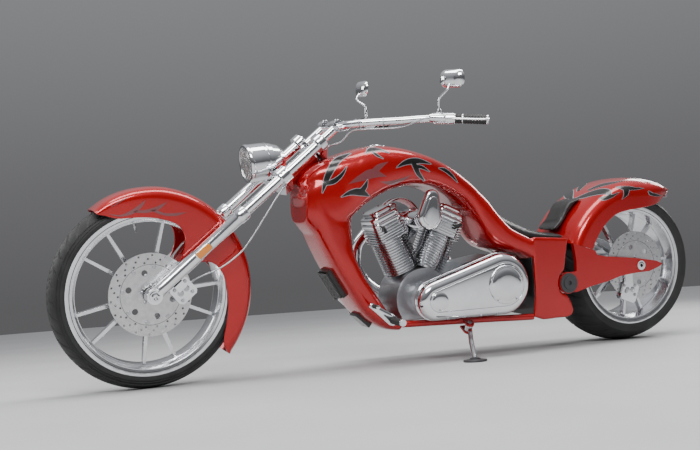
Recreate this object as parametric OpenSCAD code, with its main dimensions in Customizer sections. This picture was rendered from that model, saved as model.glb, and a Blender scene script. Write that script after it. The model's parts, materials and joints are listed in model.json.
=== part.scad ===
/* [Stance] */
// rear axle to front axle (mm)
wheelbase = 2030; // [1980:5:2100]
// lean onto the side stand (deg)
lean = 5.5; // [4:0.1:7]
// fork angle from vertical (deg)
rake = 50.3; // [46:0.1:53]
// steering turned left at rest (deg)
rest_steer = 4.6; // [0:0.1:8]
// axle ahead of the steering axis (mm)
axle_lead = 46; // [40:1:55]

/* [Front wheel] */
// outer radius of the front tyre (mm)
front_r = 340; // [335:1:345]
// width of the front tyre (mm)
front_w = 120; // [110:1:124]
// radius of the front rim lip (mm)
front_rim_r = 289; // [280:1:292]
// radius of the front brake disc (mm)
front_disc_r = 146; // [130:1:150]

/* [Rear wheel] */
// outer radius of the rear tyre (mm)
rear_r = 328; // [322:1:332]
// width of the rear tyre (mm)
rear_w = 246; // [220:1:250]
// radius of the rear rim lip (mm)
rear_rim_r = 251; // [245:1:256]
// radius of the rear brake disc (mm)
rear_disc_r = 142; // [130:1:146]

/* [Fork and bars] */
// distance from the centre plane to each fork leg (mm)
fork_y = 97; // [94:0.5:104]
// radius of the lower fork sliders (mm)
slider_r = 25; // [22:0.5:27]
// radius of the upper fork tubes (mm)
tube_r = 20.5; // [18:0.5:22]
// length of the sliders up from the axle (mm)
slider_len = 425; // [380:5:450]
// distance up the leg to the lower clamp (mm)
lower_tree_z = 612; // [600:1:620]
// distance up the leg to the upper clamp (mm)
upper_tree_z = 802; // [795:1:810]
// radius of the handlebar tube (mm)
bar_r = 14; // [12:0.5:16]

/* [Body] */
// half width of the tank at its widest (mm)
tank_half = 146; // [130:1:155]
// half width of the painted front spine (mm)
spine_half = 122; // [110:1:130]
// outside of the side panels and swingarm (mm)
panel_y = 166; // [160:1:172]
// half width of the seat at its widest (mm)
seat_half = 128; // [115:1:140]

/* [Engine] */
// angle between the two cylinders (deg)
engine_v = 48; // [45:1:52]
// radius of the finned barrels (mm)
barrel_r = 76; // [66:1:80]
// radius of the exhaust pipes (mm)
pipe_r = 24; // [20:1:28]

/* [Fits] */
// gap between pieces that touch (mm)
seat_gap = 0.3; // [0.3:0.05:0.6]
// radial gap of the wheel bearings (mm)
run_gap = 0.05; // [0.02:0.01:0.1]

/* [Hidden] */
$fn = 96;
base_wheelbase = 2030;
front_crown = front_w * 0.55;
rear_crown = 190;
fork_up = [-sin(rake), 0, cos(rake)];
fork_n = [cos(rake), 0, sin(rake)];
front_spin = leaned(turned([0, 1, 0], fork_up, rest_steer));
axle_shift = axle_lead * (turned(fork_n, fork_up, rest_steer) - fork_n);
front_row_z = (front_r - front_crown) * sqrt(1 - pow(front_spin[2], 2)) + front_crown;
front_axle_z = (front_row_z + axle_shift[1] * sin(lean)) / cos(lean) - axle_shift[2];
rear_axle_z = rear_r - rear_crown + rear_crown / cos(lean);
front_axle_at = [wheelbase, 0, front_axle_z];
steer_at = front_axle_at - axle_lead * fork_n;
x_mid = 1020;
y_mid = 73;

function leaned(v) = [v[0], v[1] * cos(lean) + v[2] * sin(lean),
  -v[1] * sin(lean) + v[2] * cos(lean)];
function turned(v, k, a) = v * cos(a) + cross(k, v) * sin(a) + k * (k * v) * (1 - cos(a));
function polar(r, a) = [r * cos(a), r * sin(a)];
// body stations stretch with the wheelbase ahead of the engine
function bx(x) = x + (wheelbase - base_wheelbase) * min(1, max(0, (x - 1100) / 260));
function curve_at(p, i, t) = let (n = len(p), a = p[max(0, i - 1)], b = p[i],
  c = p[min(n - 1, i + 1)], d = p[min(n - 1, i + 2)])
  0.5 * (2 * b + (c - a) * t + (2 * a - 5 * b + 4 * c - d) * t * t
  + (3 * b - a - 3 * c + d) * t * t * t);
function smooth(p, k) = concat([for (i = [0 : len(p) - 2]) for (j = [0 : k - 1])
  curve_at(p, i, j / k)], [p[len(p) - 1]]);
function power(v, e) = sign(v) * pow(abs(v), e);
function unit(v) = v / norm(v);

module place() translate([-x_mid, -y_mid, 0]) rotate([-lean, 0, 0]) children();
module front_bike() translate(steer_at) rotate(rest_steer, fork_up) translate(-steer_at) children();
module fork_local() front_bike() translate(front_axle_at) rotate([0, -rake, 0]) children();
module front_hub() front_bike() translate(front_axle_at) rotate([90, 0, 0]) children();
module rear_hub() translate([0, 0, rear_axle_z]) rotate([90, 0, 0]) children();
module slab(y0, y1) translate([0, y1, 0]) rotate([90, 0, 0]) linear_extrude(y1 - y0) children();
module both() { children(); mirror([0, 1, 0]) children(); }
module rod_y(r, y0, y1) translate([0, y0, 0]) rotate([-90, 0, 0]) cylinder(r = r, h = y1 - y0);

// closed skin through rings of points, ends capped
module loft(rings) {
  m = len(rings);
  n = len(rings[0]);
  polyhedron(points = [for (r = rings) for (p = r) p],
    faces = concat([[for (j = [0 : n - 1]) j]], [[for (j = [0 : n - 1]) m * n - 1 - j]],
      [for (i = [0 : m - 2]) for (j = [0 : n - 1]) [i * n + j, (i + 1) * n + j,
        (i + 1) * n + (j + 1) % n]],
      [for (i = [0 : m - 2]) for (j = [0 : n - 1]) [i * n + j, (i + 1) * n + (j + 1) % n,
        i * n + (j + 1) % n]]), convexity = 6);
}
// open sheet with thickness, from matching outer and inner rows
module sheet(outer, inner) {
  m = len(outer);
  n = len(outer[0]);
  loft([for (i = [0 : m - 1]) concat(outer[i], [for (j = [0 : n - 1]) inner[i][n - 1 - j]])]);
}
// rounded tube along points, side vector ref
module tube(p, r, ref, k = 12) loft(rings(p, r, ref, k));
// upright section: rounded rectangle in a plane of constant x
function station(x, top, bottom, half, e, n) = [for (j = [0 : n - 1]) let (a = -360 * j / n)
  [x, half * power(cos(a), e), (top + bottom) / 2 + (top - bottom) / 2 * power(sin(a), e)]];
// slanted section between a front point and a rear point
function slanted(f, b, half, e, n) = [for (j = [0 : n - 1]) let (a = 360 * j / n)
  [(f[0] + b[0]) / 2 + (f[0] - b[0]) / 2 * power(sin(a), e), half * power(cos(a), e),
   (f[1] + b[1]) / 2 + (f[1] - b[1]) / 2 * power(sin(a), e)]];

// ---- wheels ----
module tyre(r, w, crown, wall_r, wall_at, bead, lip, lip_half) rotate_extrude($fn = 120)
  difference() {
    intersection() {
      translate([r - crown, 0]) circle(crown);
      union() {
        for (s = [-1, 1]) translate([wall_at, s * (w / 2 - wall_r)]) circle(wall_r);
        translate([wall_at - wall_r, wall_r - w / 2]) square([2 * wall_r, w - 2 * wall_r]);
      }
      translate([bead, -w]) square([r, 2 * w]);
    }
    translate([bead - 5, lip_half - 7 - seat_gap]) square([lip + seat_gap - bead + 5, w]);
    translate([bead - 5, -w - lip_half + 7 + seat_gap]) square([lip + seat_gap - bead + 5, w]);
  }
module front_tyre() color([0.05, 0.05, 0.05]) place() front_hub()
  tyre(front_r, front_w, front_crown, 46, 302, front_rim_r - 12 + seat_gap, front_rim_r, rim_half);
module rear_tyre() color([0.05, 0.05, 0.05]) place() rear_hub()
  tyre(rear_r, rear_w, rear_crown, 62, 284, rear_rim_r - 12 + seat_gap, rear_rim_r, rear_rim_half);
rim_half = 54;
rear_rim_half = 112;
module rim_section(lip, half, well) polygon([[lip - 37, -half * 0.5], [lip - 37, half * 0.5],
  [lip - 26, half - 5], [lip - 7, half], [lip, half], [lip, half - 5], [lip - 12, half - 7],
  [lip - 12, half - 24], [lip - 12 - well, half - 38], [lip - 12 - well, -half + 38],
  [lip - 12, -half + 24], [lip - 12, -half + 7], [lip, -half + 5], [lip, -half],
  [lip - 7, -half], [lip - 26, -half + 5]]);
// one spoke from the hub at angle a0 to the rim at angle a1
module spoke(r0, r1, a0, a1, w0, w1, t) {
  p = polar(r0, a0);
  q = polar(r1, a1);
  d = unit(q - p);
  s = [-d[1], d[0]];
  translate([0, 0, -t / 2]) linear_extrude(t)
    polygon([p + s * w0 / 2, q + s * w1 / 2, q - s * w1 / 2, p - s * w0 / 2]);
}
spoke_mids = [45, 117, 189, 261, 333];
module spokes(r0, r1, t) for (m = spoke_mids) for (s = [-1, 1])
  spoke(r0, r1, m + s * 6, m + s * 13, 15, 11, t);
module front_rim() color([0.8, 0.8, 0.82]) place() front_hub() difference() {
  union() {
    rotate_extrude($fn = 120) rim_section(front_rim_r, rim_half, 10);
    spokes(30, front_rim_r - 34, 22);
    cylinder(r = 34, h = 104, center = true);
    translate([0, 0, -52]) cylinder(r = 50, h = 8);
    translate([0, 0, 44]) cylinder(r = 44, h = 8);
  }
  cylinder(r = axle_r + run_gap, h = 120, center = true);
}
axle_r = 12.5;
module disc_plate(r, inner, t) linear_extrude(t) difference() {
  circle(r);
  circle(20);
  for (m = [0 : 5]) rotate(m * 60 + 15) translate([inner * 0.76, 0]) circle(11);
  for (k = [0 : 2]) for (m = [0 : 17]) rotate(m * 20 + k * 6.7)
    translate([inner + 9 + k * (r - inner - 17) / 2, 0]) circle(r = 4, $fn = 24);
}
module front_disc() color([0.75, 0.75, 0.77]) place() front_hub() {
  translate([0, 0, -61]) disc_plate(front_disc_r, 104, 5);
  translate([0, 0, -58]) difference() {
    cylinder(r = 48, h = 6 - seat_gap);
    translate([0, 0, -1]) cylinder(r = 20, h = 8);
  }
}
module rear_rim() color([0.8, 0.8, 0.82]) place() rear_hub() difference() {
  union() {
    rotate_extrude($fn = 120) rim_section(rear_rim_r, rear_rim_half, 14);
    translate([0, 0, -62]) spokes(34, rear_rim_r - 34, 24);
    cylinder(r = 40, h = 236, center = true);
    translate([0, 0, -118]) cylinder(r = 54, h = 8);
    translate([0, 0, 108]) cylinder(r = 54, h = 8);
    translate([0, 0, -76]) cylinder(r = 60, h = 28);
  }
  cylinder(r = axle_r + run_gap, h = 260, center = true);
}
module rear_disc() color([0.75, 0.75, 0.77]) place() rear_hub() {
  translate([0, 0, -132]) disc_plate(rear_disc_r, 100, 5);
  translate([0, 0, -129]) difference() {
    cylinder(r = 48, h = 11 - seat_gap);
    translate([0, 0, -1]) cylinder(r = 20, h = 14);
  }
}
module rear_pulley() color([0.55, 0.55, 0.57]) place() rear_hub() difference() {
  union() {
    translate([0, 0, 126]) cylinder(r = pulley_r, h = 17);
    translate([0, 0, 125]) cylinder(r = pulley_r + 5, h = 2);
    translate([0, 0, 118 + seat_gap]) cylinder(r = 54, h = 8);
  }
  translate([0, 0, 100]) cylinder(r = 20, h = 60);
  for (m = [0 : 4]) rotate(m * 72) translate([66, 0, 100]) cylinder(r = 17, h = 60);
}
pulley_r = 100;
belt_gap = 0.6;
drive_at = [618, 318];
drive_r = 44;

// ---- front end ----
module front_axle() color([0.8, 0.8, 0.82]) place() front_hub() difference() {
  union() {
    cylinder(r = axle_r, h = 2 * (fork_y + slider_r) + 10, center = true);
    for (s = [-1, 1]) {
      translate([0, 0, s * (fork_y - slider_r - seat_gap - 5) - 5]) cylinder(r = 17, h = 10);
      translate([0, 0, s * (fork_y + slider_r + seat_gap + 3) - 3]) cylinder(r = 19, h = 6);
    }
  }
  cylinder(r = 7, h = 280, center = true);
}
boss_half = slider_r - 1;
module fork_leg() {
  difference() {
    union() {
      translate([0, fork_y, -12]) cylinder(r = slider_r, h = slider_len + 12);
      translate([0, fork_y, slider_len - 8]) cylinder(r = slider_r + 3, h = 22);
      translate([0, fork_y, slider_len]) cylinder(r = tube_r, h = upper_tree_z + 32 - slider_len);
      translate([0, fork_y, upper_tree_z + 26 + seat_gap]) cylinder(r = tube_r + 3, h = 10);
      rod_y(slider_r + 3, fork_y - boss_half, fork_y + boss_half);
    }
    rod_y(axle_r + seat_gap, fork_y - 40, fork_y + 40);
  }
}
module fork_legs() color([0.85, 0.85, 0.87]) place() fork_local() both() fork_leg();
module tree_plate(t) linear_extrude(t) difference() {
  union() {
    for (s = [-1, 1]) translate([0, s * fork_y]) circle(tube_r + 14);
    polygon([[-12, -fork_y], [-12, fork_y], [-34, fork_y], [-axle_lead - 34, 30],
      [-axle_lead - 34, -30], [-34, -fork_y]]);
  }
  for (s = [-1, 1]) translate([0, s * fork_y]) circle(tube_r + seat_gap);
}
stem_r = 14;
module triple_trees() color([0.8, 0.8, 0.82]) place() fork_local() {
  translate([0, 0, lower_tree_z]) tree_plate(36);
  translate([-axle_lead, 0, lower_tree_z + 30]) cylinder(r = stem_r, h = upper_tree_z
    - lower_tree_z - 30 - seat_gap);
  translate([0, 0, upper_tree_z]) tree_plate(26);
  for (s = [-1, 1]) difference() {
    union() {
      translate([-10, s * 55, upper_tree_z + 20]) cylinder(r = 17, h = bar_z - upper_tree_z - 24);
      translate([-8, 0, bar_z]) rod_y(bar_r + 8, s * 55 - 19, s * 55 + 19);
    }
    translate([-8, 0, bar_z]) rod_y(bar_r + seat_gap, s * 55 - 30, s * 55 + 30);
  }
}
neck_r = 34;
module neck() color([0.7, 0.05, 0.05]) place() translate(steer_at) rotate([0, -rake, 0])
  translate([0, 0, lower_tree_z + 36 + 5]) difference() {
    cylinder(r = neck_r, h = upper_tree_z - lower_tree_z - 46);
    translate([0, 0, -1]) cylinder(r = stem_r + run_gap, h = 200);
  }
bar_z = 925;
// bar centre line in fork coordinates, left half
function bar_half() = smooth([[0, 85, 0], [-22, 125, 4], [-75, 168, 10], [-178, 226, 16],
  [-262, 276, 22], [-345, 330, 22], [-448, 398, 16]], 4);
bar_at = front_axle_at + bar_z * fork_up - 8 * fork_n;
bar_left = [for (p = concat(bar_half(), [[-451, 400, 16]])) bar_at + p];
bar_n = len(bar_left);
bar_path = concat([for (i = [0 : bar_n - 1]) let (p = bar_left[bar_n - 1 - i])
  [p[0], -p[1], p[2]]], [bar_at + [0, -40, 0], bar_at, bar_at + [0, 40, 0]], bar_left);
function rings(p, r, ref, k) = let (n = len(p)) [for (i = [0 : n - 1])
  let (t = unit(p[min(n - 1, i + 1)] - p[max(0, i - 1)]), a = unit(cross(ref, t)),
  b = cross(t, a)) [for (j = [0 : k - 1]) p[i]
  + r * (a * cos(360 * j / k) + b * sin(360 * j / k))]];
function part_of(v, i0, i1) = [for (i = [i0 : i1]) v[i]];
up = [0, 0, 1];
bar_last = len(bar_path) - 1;
module handlebar() color([0.85, 0.85, 0.87]) place() front_bike()
  loft(part_of(rings(bar_path, bar_r, up, 16), 5, bar_last - 5));
// grip over the end of the bar, its inner end moved off the bar's end
module grip() {
  v = part_of(rings(bar_path, 18, up, 16), bar_last - 5, bar_last - 1);
  loft(concat([[for (q = v[0]) q + 0.4 * grip_dir]], part_of(v, 1, 4)));
}
module grips() color([0.05, 0.05, 0.05]) place() front_bike() both() grip();
// outward normal of the grip, left side
grip_dir = unit([-103, 68, -6]);
grip_n = unit(cross(up, grip_dir)) * -1;
lever_at = bar_left[bar_n - 8];
module lever_set() {
  c = lever_at;
  e = bar_left[bar_n - 2];
  difference() {
    union() {
      loft(part_of(rings(bar_path, bar_r + 7, up, 16), bar_last - 9, bar_last - 6));
      tube([c + grip_n * 16 - grip_dir * 5, c + grip_n * 34], 11, up, 12);
      tube([c + grip_n * 34 - grip_dir * 38, c + grip_n * 34 + grip_dir * 22], 15, up, 16);
      tube(smooth([c + grip_n * 36 + grip_dir * 10, c + grip_n * 50 + grip_dir * 50,
        c + grip_n * 52 + grip_dir * 120, e + grip_n * 58 + grip_dir * 4], 3), 5.5, up, 10);
    }
    loft(rings(bar_path, bar_r + seat_gap, up, 16));
  }
}
module hand_controls() color([0.85, 0.85, 0.87]) place() front_bike() both() lever_set();
// mirror head on a stem; half turn yaw, side s
module mirror_set(s, yaw, ahead) {
  m = bar_left[bar_n - 8];
  c = [m[0] - 34 + ahead, s * (m[1] + 22), 1090];
  foot = [m[0], s * (m[1] - 4), m[2] + bar_r + 7 + seat_gap + 0.4];
  tube(smooth([foot, foot + [2, 0, 22], foot + [4, s * 6, 50], c + [20, 0, -44],
    c + [6, 0, -20]], 3), 5, [1, 0, 0], 10);
  translate(c) rotate([0, 0, yaw]) rotate([90, 0, 90]) difference() {
    translate([0, 0, -8]) linear_extrude(20) intersection() {
      square([104, 68], center = true);
      circle(r = 56);
    }
    translate([0, 0, -9]) linear_extrude(4) square([90, 56], center = true);
  }
}
module mirrors() color([0.85, 0.85, 0.87]) place() front_bike() {
  mirror_set(1, 30, 0);
  mirror_set(-1, 2, 46);
}
lamp_front = front_axle_at + [-378, 0, 446];
lamp_len = 152;
module headlight() color([0.85, 0.85, 0.87]) place() front_bike() {
  translate(lamp_front) rotate([0, 8, 0]) rotate([0, -90, 0]) rotate_extrude()
    polygon([[0, 14], [58, 10], [62, -2], [70, -3], [71, 6], [69, 60], [64, 92], [54, 120],
      [38, 140], [18, 149], [0, lamp_len]]);
  translate(front_axle_at) rotate([0, -rake, 0]) slab(-12, 12)
    polygon([[-12 + seat_gap, lower_tree_z + 4], [14, lower_tree_z + 8],
      [20, lower_tree_z + 48], [-12 + seat_gap, lower_tree_z + 30]]);
}
// point on a wheel guard: angle a, radius r, sideways y
function guard(a, r, y) = [r * cos(a), r * sin(a), -y];
// half profile rows of a guard: skirt edge e, wall top w, crown c, half width h
function guard_row(a, e, w, c, h, k, n) = [for (i = [-n : n])
  let (s = abs(i) / n, b = min(1, s / 0.6) * 90, q = max(0, (s - 0.6) / 0.4), m = max(w, e + 3))
  guard(a, s <= 0.6 ? m + (c - m) * power(cos(b), k) : m + (e - m) * q,
    sign(i) * h * (s <= 0.6 ? power(sin(b), k) : 1))];
front_guard_edge = [[58, 338], [61, 325], [66, 300], [71, 286], [85, 273], [99, 267],
  [111, 262], [117, 251], [122, 232], [127, 204], [131, 172], [134, 150], [143, 150],
  [146, 176], [149, 206], [152, 228], [156, 245], [166, 265], [181, 276], [196, 288],
  [209, 303], [216, 320], [220, 350]];
front_guard_crown = [[58, 352], [68, 362], [78, 368], [89, 372], [100, 376], [120, 378],
  [220, 377]];
guard_t = 4;
guard_h = fork_y - slider_r - 0.5;
module front_fender() color([0.7, 0.03, 0.03]) place() front_hub() {
  steps = concat([for (a = [58 : 3 : 217]) a], [220]);
  sheet([for (a = steps) guard_row(a, lookup(a, front_guard_edge), 334,
      lookup(a, front_guard_crown), guard_h, 0.75, 8)],
    [for (a = steps) guard_row(a, lookup(a, front_guard_edge), 334 - 1,
      lookup(a, front_guard_crown) - guard_t, guard_h - guard_t, 0.75, 8)]);
}
module front_caliper() color([0.8, 0.8, 0.82]) place() fork_local() difference() {
  union() {
    translate([0, 84, 0]) rotate([90, 0, 0]) linear_extrude(40) intersection() {
      translate([-101, 50]) square([75, 80]);
      translate([-63, 91]) circle(48);
    }
    translate([-52, 83, 72]) cube([52 - slider_r - seat_gap, 26, 36]);
  }
  rod_y(front_disc_r + 4, 52.5, 64.5);
}
function fork_point(n, y, u) = front_axle_at + n * fork_n + [0, y, 0] + u * fork_up;
module control_lines() color([0.5, 0.5, 0.52]) place() {
  fork_local() tube(smooth([[-62, 68, 133], [-68, 82, 170], [-90, 97, 240], [-98, 101, 320],
    [-89, 102, 381], [-62, 102, 480], [-40, 99, 560], [-30, fork_y,
    lower_tree_z - seat_gap - 0.3]], 3), 3.2, [0, 1, 0], 8);
  front_bike() both() tube(smooth([lever_at + grip_n * 34 - grip_dir * 38.6,
    lever_at + grip_n * 32 - grip_dir * 62 - [0, 0, 6], bar_at + [-178, 226, -8],
    bar_at + [-75, 168, -14], bar_at + [-28, 130, -20], fork_point(-52, 100, 885),
    fork_point(-45, 64, 858), fork_point(-44, 60, 842), fork_point(-44, 60, upper_tree_z + 26.7)], 4),
    3.2, [0, 1, 0], 8);
}

// ---- body ----
spine_rows = [[1468, 662, 1262, 577, 118, 0.62], [1446, 600, 1266, 530, spine_half, 0.62],
  [1418, 520, 1262, 452, spine_half, 0.62], [1384, 446, 1244, 398, spine_half, 0.62],
  [1350, 380, 1222, 352, 120, 0.62], [1314, 320, 1196, 312, 118, 0.62],
  [1276, 258, 1170, 274, 115, 0.62], [1236, 205, 1142, 230, 112, 0.62],
  [1190, 165, 1112, 196, 108, 0.62], [1140, 140, 1094, 182, 104, 0.62],
  [1086, 131, 1078, 172, 100, 0.62]];
module spine(g) loft([for (r = smooth(spine_rows, 3)) slanted([bx(r[0]) + g, r[1]],
  [bx(r[2]) - g, r[3]], r[4] + g, r[5], 36)]);
module downtube_cover() color([0.7, 0.03, 0.03]) place() spine(0);
tank_rows = [[1462, 722, 662, 52, 0.75], [1440, 752, 656, 84, 0.7], [1400, 782, 638, 106, 0.62],
  [1350, 800, 618, 120, 0.58], [1294, 816, 594, 132, 0.56], [1258, 826, 584, 138, 0.56],
  [1223, 836, 612, 142, 0.58], [1151, 846, 654, tank_half, 0.6], [1079, 840, 679, tank_half, 0.6],
  [1006, 824, 688, 144, 0.6], [931, 799, 680, 140, 0.6], [856, 762, 650, 135, 0.58],
  [790, 716, 606, 130, 0.56], [750, 686, 556, 128, 0.56]];
module tank_shape(g) loft([for (r = smooth(tank_rows, 2)) station(bx(r[0]), r[1] + g,
  r[2] - g, r[3] + g, r[4], 36)]);
module neck_space(g) translate(steer_at) rotate([0, -rake, 0])
  translate([0, 0, lower_tree_z + 20]) cylinder(r = neck_r + g, h = upper_tree_z - lower_tree_z + 40);
module fork_sweep() translate(steer_at) rotate([0, -rake, 0]) {
  translate([0, 0, lower_tree_z - 30]) cylinder(r = 50, h = 36 + 30 + 5);
  translate([0, 0, upper_tree_z - 5]) cylinder(r = 60, h = 120);
  for (z = [lower_tree_z - 8, upper_tree_z - 8]) translate([0, 0, z]) linear_extrude(60)
    for (a = [-38 : 9.5 : 38]) rotate(a) translate([axle_lead, 0]) {
      for (s = [-1, 1]) translate([0, s * fork_y]) circle(tube_r + 20, $fn = 24);
      polygon([[-12, -fork_y - 8], [-12, fork_y + 8], [-41, fork_y + 8], [-axle_lead - 40, 34],
        [-axle_lead - 40, -34], [-41, -fork_y - 8]]);
    }
}
module tank() color([0.7, 0.03, 0.03]) place() difference() {
  tank_shape(0);
  neck_space(seat_gap);
  fork_sweep();
  spine(0.4);
}
cowl_rows = [[749, 685, 556, 128, 0.56], [704, 646, 470, 130, 0.56], [672, 606, 436, 133, 0.56],
  [648, 572, 424, 137, 0.54], [607, 522, 410, 146, 0.52], [560, 492, 396, 156, 0.5],
  [524, 474, 376, 164, 0.48]];
module cowl_shape(g) loft([for (r = smooth(cowl_rows, 3)) station(r[0] + (r[0] > 748 ? 0.001 : 0),
  r[1] + g, r[2] - g, r[3] + g, r[4], 36)]);
module rear_cowl() color([0.7, 0.03, 0.03]) place() cowl_shape(0);
pivot_at = [364, 277];
pivot_r = 44;
panel_in = panel_y - 18;
module panel_outline() difference() {
  polygon([[356, 459], [361, 440], [370, 390], [378, 332], [400, 289], [395, 231], [348, 200],
    [339, 164], [346, 146], [371, 138], [487, 137], [530, 152], [526, 176], [519, 230],
    [519, 278], [523.6, 340], [523.6, 470], [480, 468], [420, 464]]);
  translate(pivot_at) circle(pivot_r + seat_gap);
}
module side_panels() color([0.7, 0.03, 0.03]) place() both() slab(panel_in, panel_y) panel_outline();
rail_r = 13;
module rail() tube(smooth([[bx(1077.4), 88, 158], [1020, 100, 158], [900, 114, 157],
  [700, 138, 155], [600, 150, 153], [531, 155, 152]], 3), rail_r, up, 12);
module belly_rails() color([0.7, 0.03, 0.03]) place() {
  difference() {
    union() {
      both() rail();
      for (p = [[1030, 104], [870, 110], [700, 132]]) translate([p[0], 0, 158])
        rod_y(12, -p[1], p[1]);
    }
    spine(0.4);
    stand_local() translate([0, 0, -12.5]) cylinder(r = 26, h = 25);
  }
  difference() {
    stand_local() for (s = [-1, 1]) translate([0, 0, s * 17 - 4]) linear_extrude(8) union() {
      circle(18);
      translate([-18, -34]) square([36, 34]);
    }
    translate([stand_at[0] - 40, 0, 0]) cube([80, 108, 160]);
  }
  stand_local() cylinder(r = stand_pin_r, h = 40, center = true);
}
module oil_tank() color([0.06, 0.06, 0.06]) place() {
  slab(-panel_in + 30, panel_in - seat_gap) polygon([[412, 150], [516, 150], [516, 330],
    [523.6, 345], [523.6, 440], [412, 440]]);
  slab(-panel_in + seat_gap, -panel_in + 31) {
    translate([412, 405]) square([111.6, 35]);
    translate([412, 150]) square([100, 60]);
  }
}
seat_rows = [[676, 606, 588, 24, 0.8], [655, 594, 560, 66, 0.75], [630, 574, 520, 94, 0.7],
  [600, 550, 480, 110, 0.65], [541, 520, 450, 124, 0.6], [490, 502, 444, seat_half, 0.6],
  [441, 490, 444, seat_half + 2, 0.6], [395, 484, 444, seat_half, 0.6],
  [350, 480, 452, 122, 0.6]];
module seat_pad() color([0.04, 0.04, 0.04]) place() difference() {
  loft([for (r = smooth(seat_rows, 2)) station(r[0], r[1], r[2], r[3], r[4], 36)]);
  cowl_shape(0.4);
  tank_shape(0.4);
  slab(-150, 150) translate([400, 400]) square([130, 40.4]);
}
rear_guard_edge = [[18, 252], [34, 250], [61, 249], [77, 241], [88, 240], [96, 245], [104, 256],
  [110, 270], [115, 292], [118, 320], [121, 352], [124, 370], [134, 385]];
rear_guard_crown = [[18, 353], [50, 353], [60, 355], [72, 361], [84, 367], [96, 374],
  [108, 380], [120, 386], [134, 395]];
rear_guard_half = [[18, panel_y], [80, panel_y], [100, panel_y - 3], [112, panel_y - 14],
  [119, panel_y - 32], [124, panel_y - 60], [128, panel_y - 94], [131, panel_y - 126]];
module rear_fender() color([0.7, 0.03, 0.03]) place() rear_hub() {
  steps = concat([for (a = [18 : 3 : 126]) a], [128.5, 131]);
  sheet([for (a = steps) guard_row(a, lookup(a, rear_guard_edge), min(300 + max(0, a - 100)
      * 2.4, lookup(a, rear_guard_crown) - 4), lookup(a, rear_guard_crown),
      lookup(a, rear_guard_half), 0.72, 8)],
    [for (a = steps) guard_row(a, lookup(a, rear_guard_edge), min(300 + max(0, a - 100)
      * 2.4, lookup(a, rear_guard_crown) - 4) - 1, lookup(a, rear_guard_crown) - guard_t,
      lookup(a, rear_guard_half) - guard_t, 0.72, 8)]);
}
back_arc = [for (a = [56 : -4 : 32]) [0, rear_axle_z] + polar(lookup(a, rear_guard_crown) + 0.7, a)];
module seat_back() color([0.04, 0.04, 0.04]) place() slab(-62, 62)
  polygon(concat([[330, 485.5], [358, 485.5], [350, 499], [333, 514], [314, 537], [300, 558],
    [286, 581], [272, 599], [257, 607], [229, 614], [208, 623]], back_arc));
module swingarm() color([0.7, 0.03, 0.03]) place() {
  both() slab(panel_in, panel_y) difference() {
    union() {
      polygon(concat([for (r = [240 : 28 : 352]) [0, rear_axle_z] + polar(r, 17.8)],
        [[328, 400], [321, 360], [322, 322], [364, 318], [364, 238], [322, 238], [244, 258],
        [171, 271], [99, 290], [27, 298], [-47, 301], [-100, 318], [-118, 330], [-86, 343],
        [25, 361], [168, 374], [217, 383]]));
      translate(pivot_at) circle(pivot_r);
    }
    translate([0, rear_axle_z]) circle(axle_r + seat_gap);
  }
  translate([382, 0, 288]) rod_y(16, -panel_in - 2, panel_in + 2);
}
module pivot_caps() color([0.2, 0.2, 0.21]) place() both() difference() {
  translate([pivot_at[0], 0, pivot_at[1]]) union() {
    rod_y(40, panel_y + seat_gap, panel_y + 7);
    rod_y(26, panel_y + 6, panel_y + 11);
  }
  translate([pivot_at[0], 0, pivot_at[1]]) rod_y(9, panel_y + 5, panel_y + 20);
}
module rear_axle() color([0.8, 0.8, 0.82]) place() rear_hub() difference() {
  union() {
    cylinder(r = axle_r, h = 2 * panel_y + 12, center = true);
    for (s = [-1, 1]) {
      translate([0, 0, s * (panel_in + 118) / 2 - (panel_in - 118) / 2 + seat_gap])
        cylinder(r = 17, h = panel_in - 118 - 2 * seat_gap);
      translate([0, 0, s * (panel_y + 4 + seat_gap) - 4]) cylinder(r = 20, h = 8);
    }
  }
  cylinder(r = 7, h = 400, center = true);
}
module rear_caliper() color([0.8, 0.8, 0.82]) place() difference() {
  union() {
    slab(116, 146) translate([0, rear_axle_z]) rotate(-70) intersection() {
      translate([80, -40]) square([78, 80]);
      translate([118, 0]) circle(50);
    }
    slab(138, panel_in - seat_gap) polygon([[26, 240], [62, 240], [62, 352], [28, 350], [26, 312]]);
  }
  translate([0, 0, rear_axle_z]) rod_y(rear_disc_r + 4, 123.5, 135.5);
}
module tail_light() color([0.5, 0.02, 0.02]) place() translate([0, 0, rear_axle_z])
  rotate([0, -132.26, 0]) translate([390, 0, 0]) rod_y(8, -36, 36);
module belt_loop(g) {
  a = [0, rear_axle_z];
  b = drive_at;
  d = unit(b - a);
  s = [-d[1], d[0]];
  e = asin((pulley_r - drive_r) / norm(b - a));
  u = s * cos(e) + d * sin(e);
  w = -s * cos(e) + d * sin(e);
  r0 = pulley_r + g;
  r1 = drive_r + g;
  translate(a) circle(r0);
  translate(b) circle(r1);
  polygon([a + u * r0, b + u * r1, b + w * r1, a + w * r0]);
}
module drive_belt() color([0.05, 0.05, 0.05]) place() difference() {
  slab(-142.5, -128.5) belt_loop(belt_gap + 5);
  slab(-150, -126) belt_loop(belt_gap);
}

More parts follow.
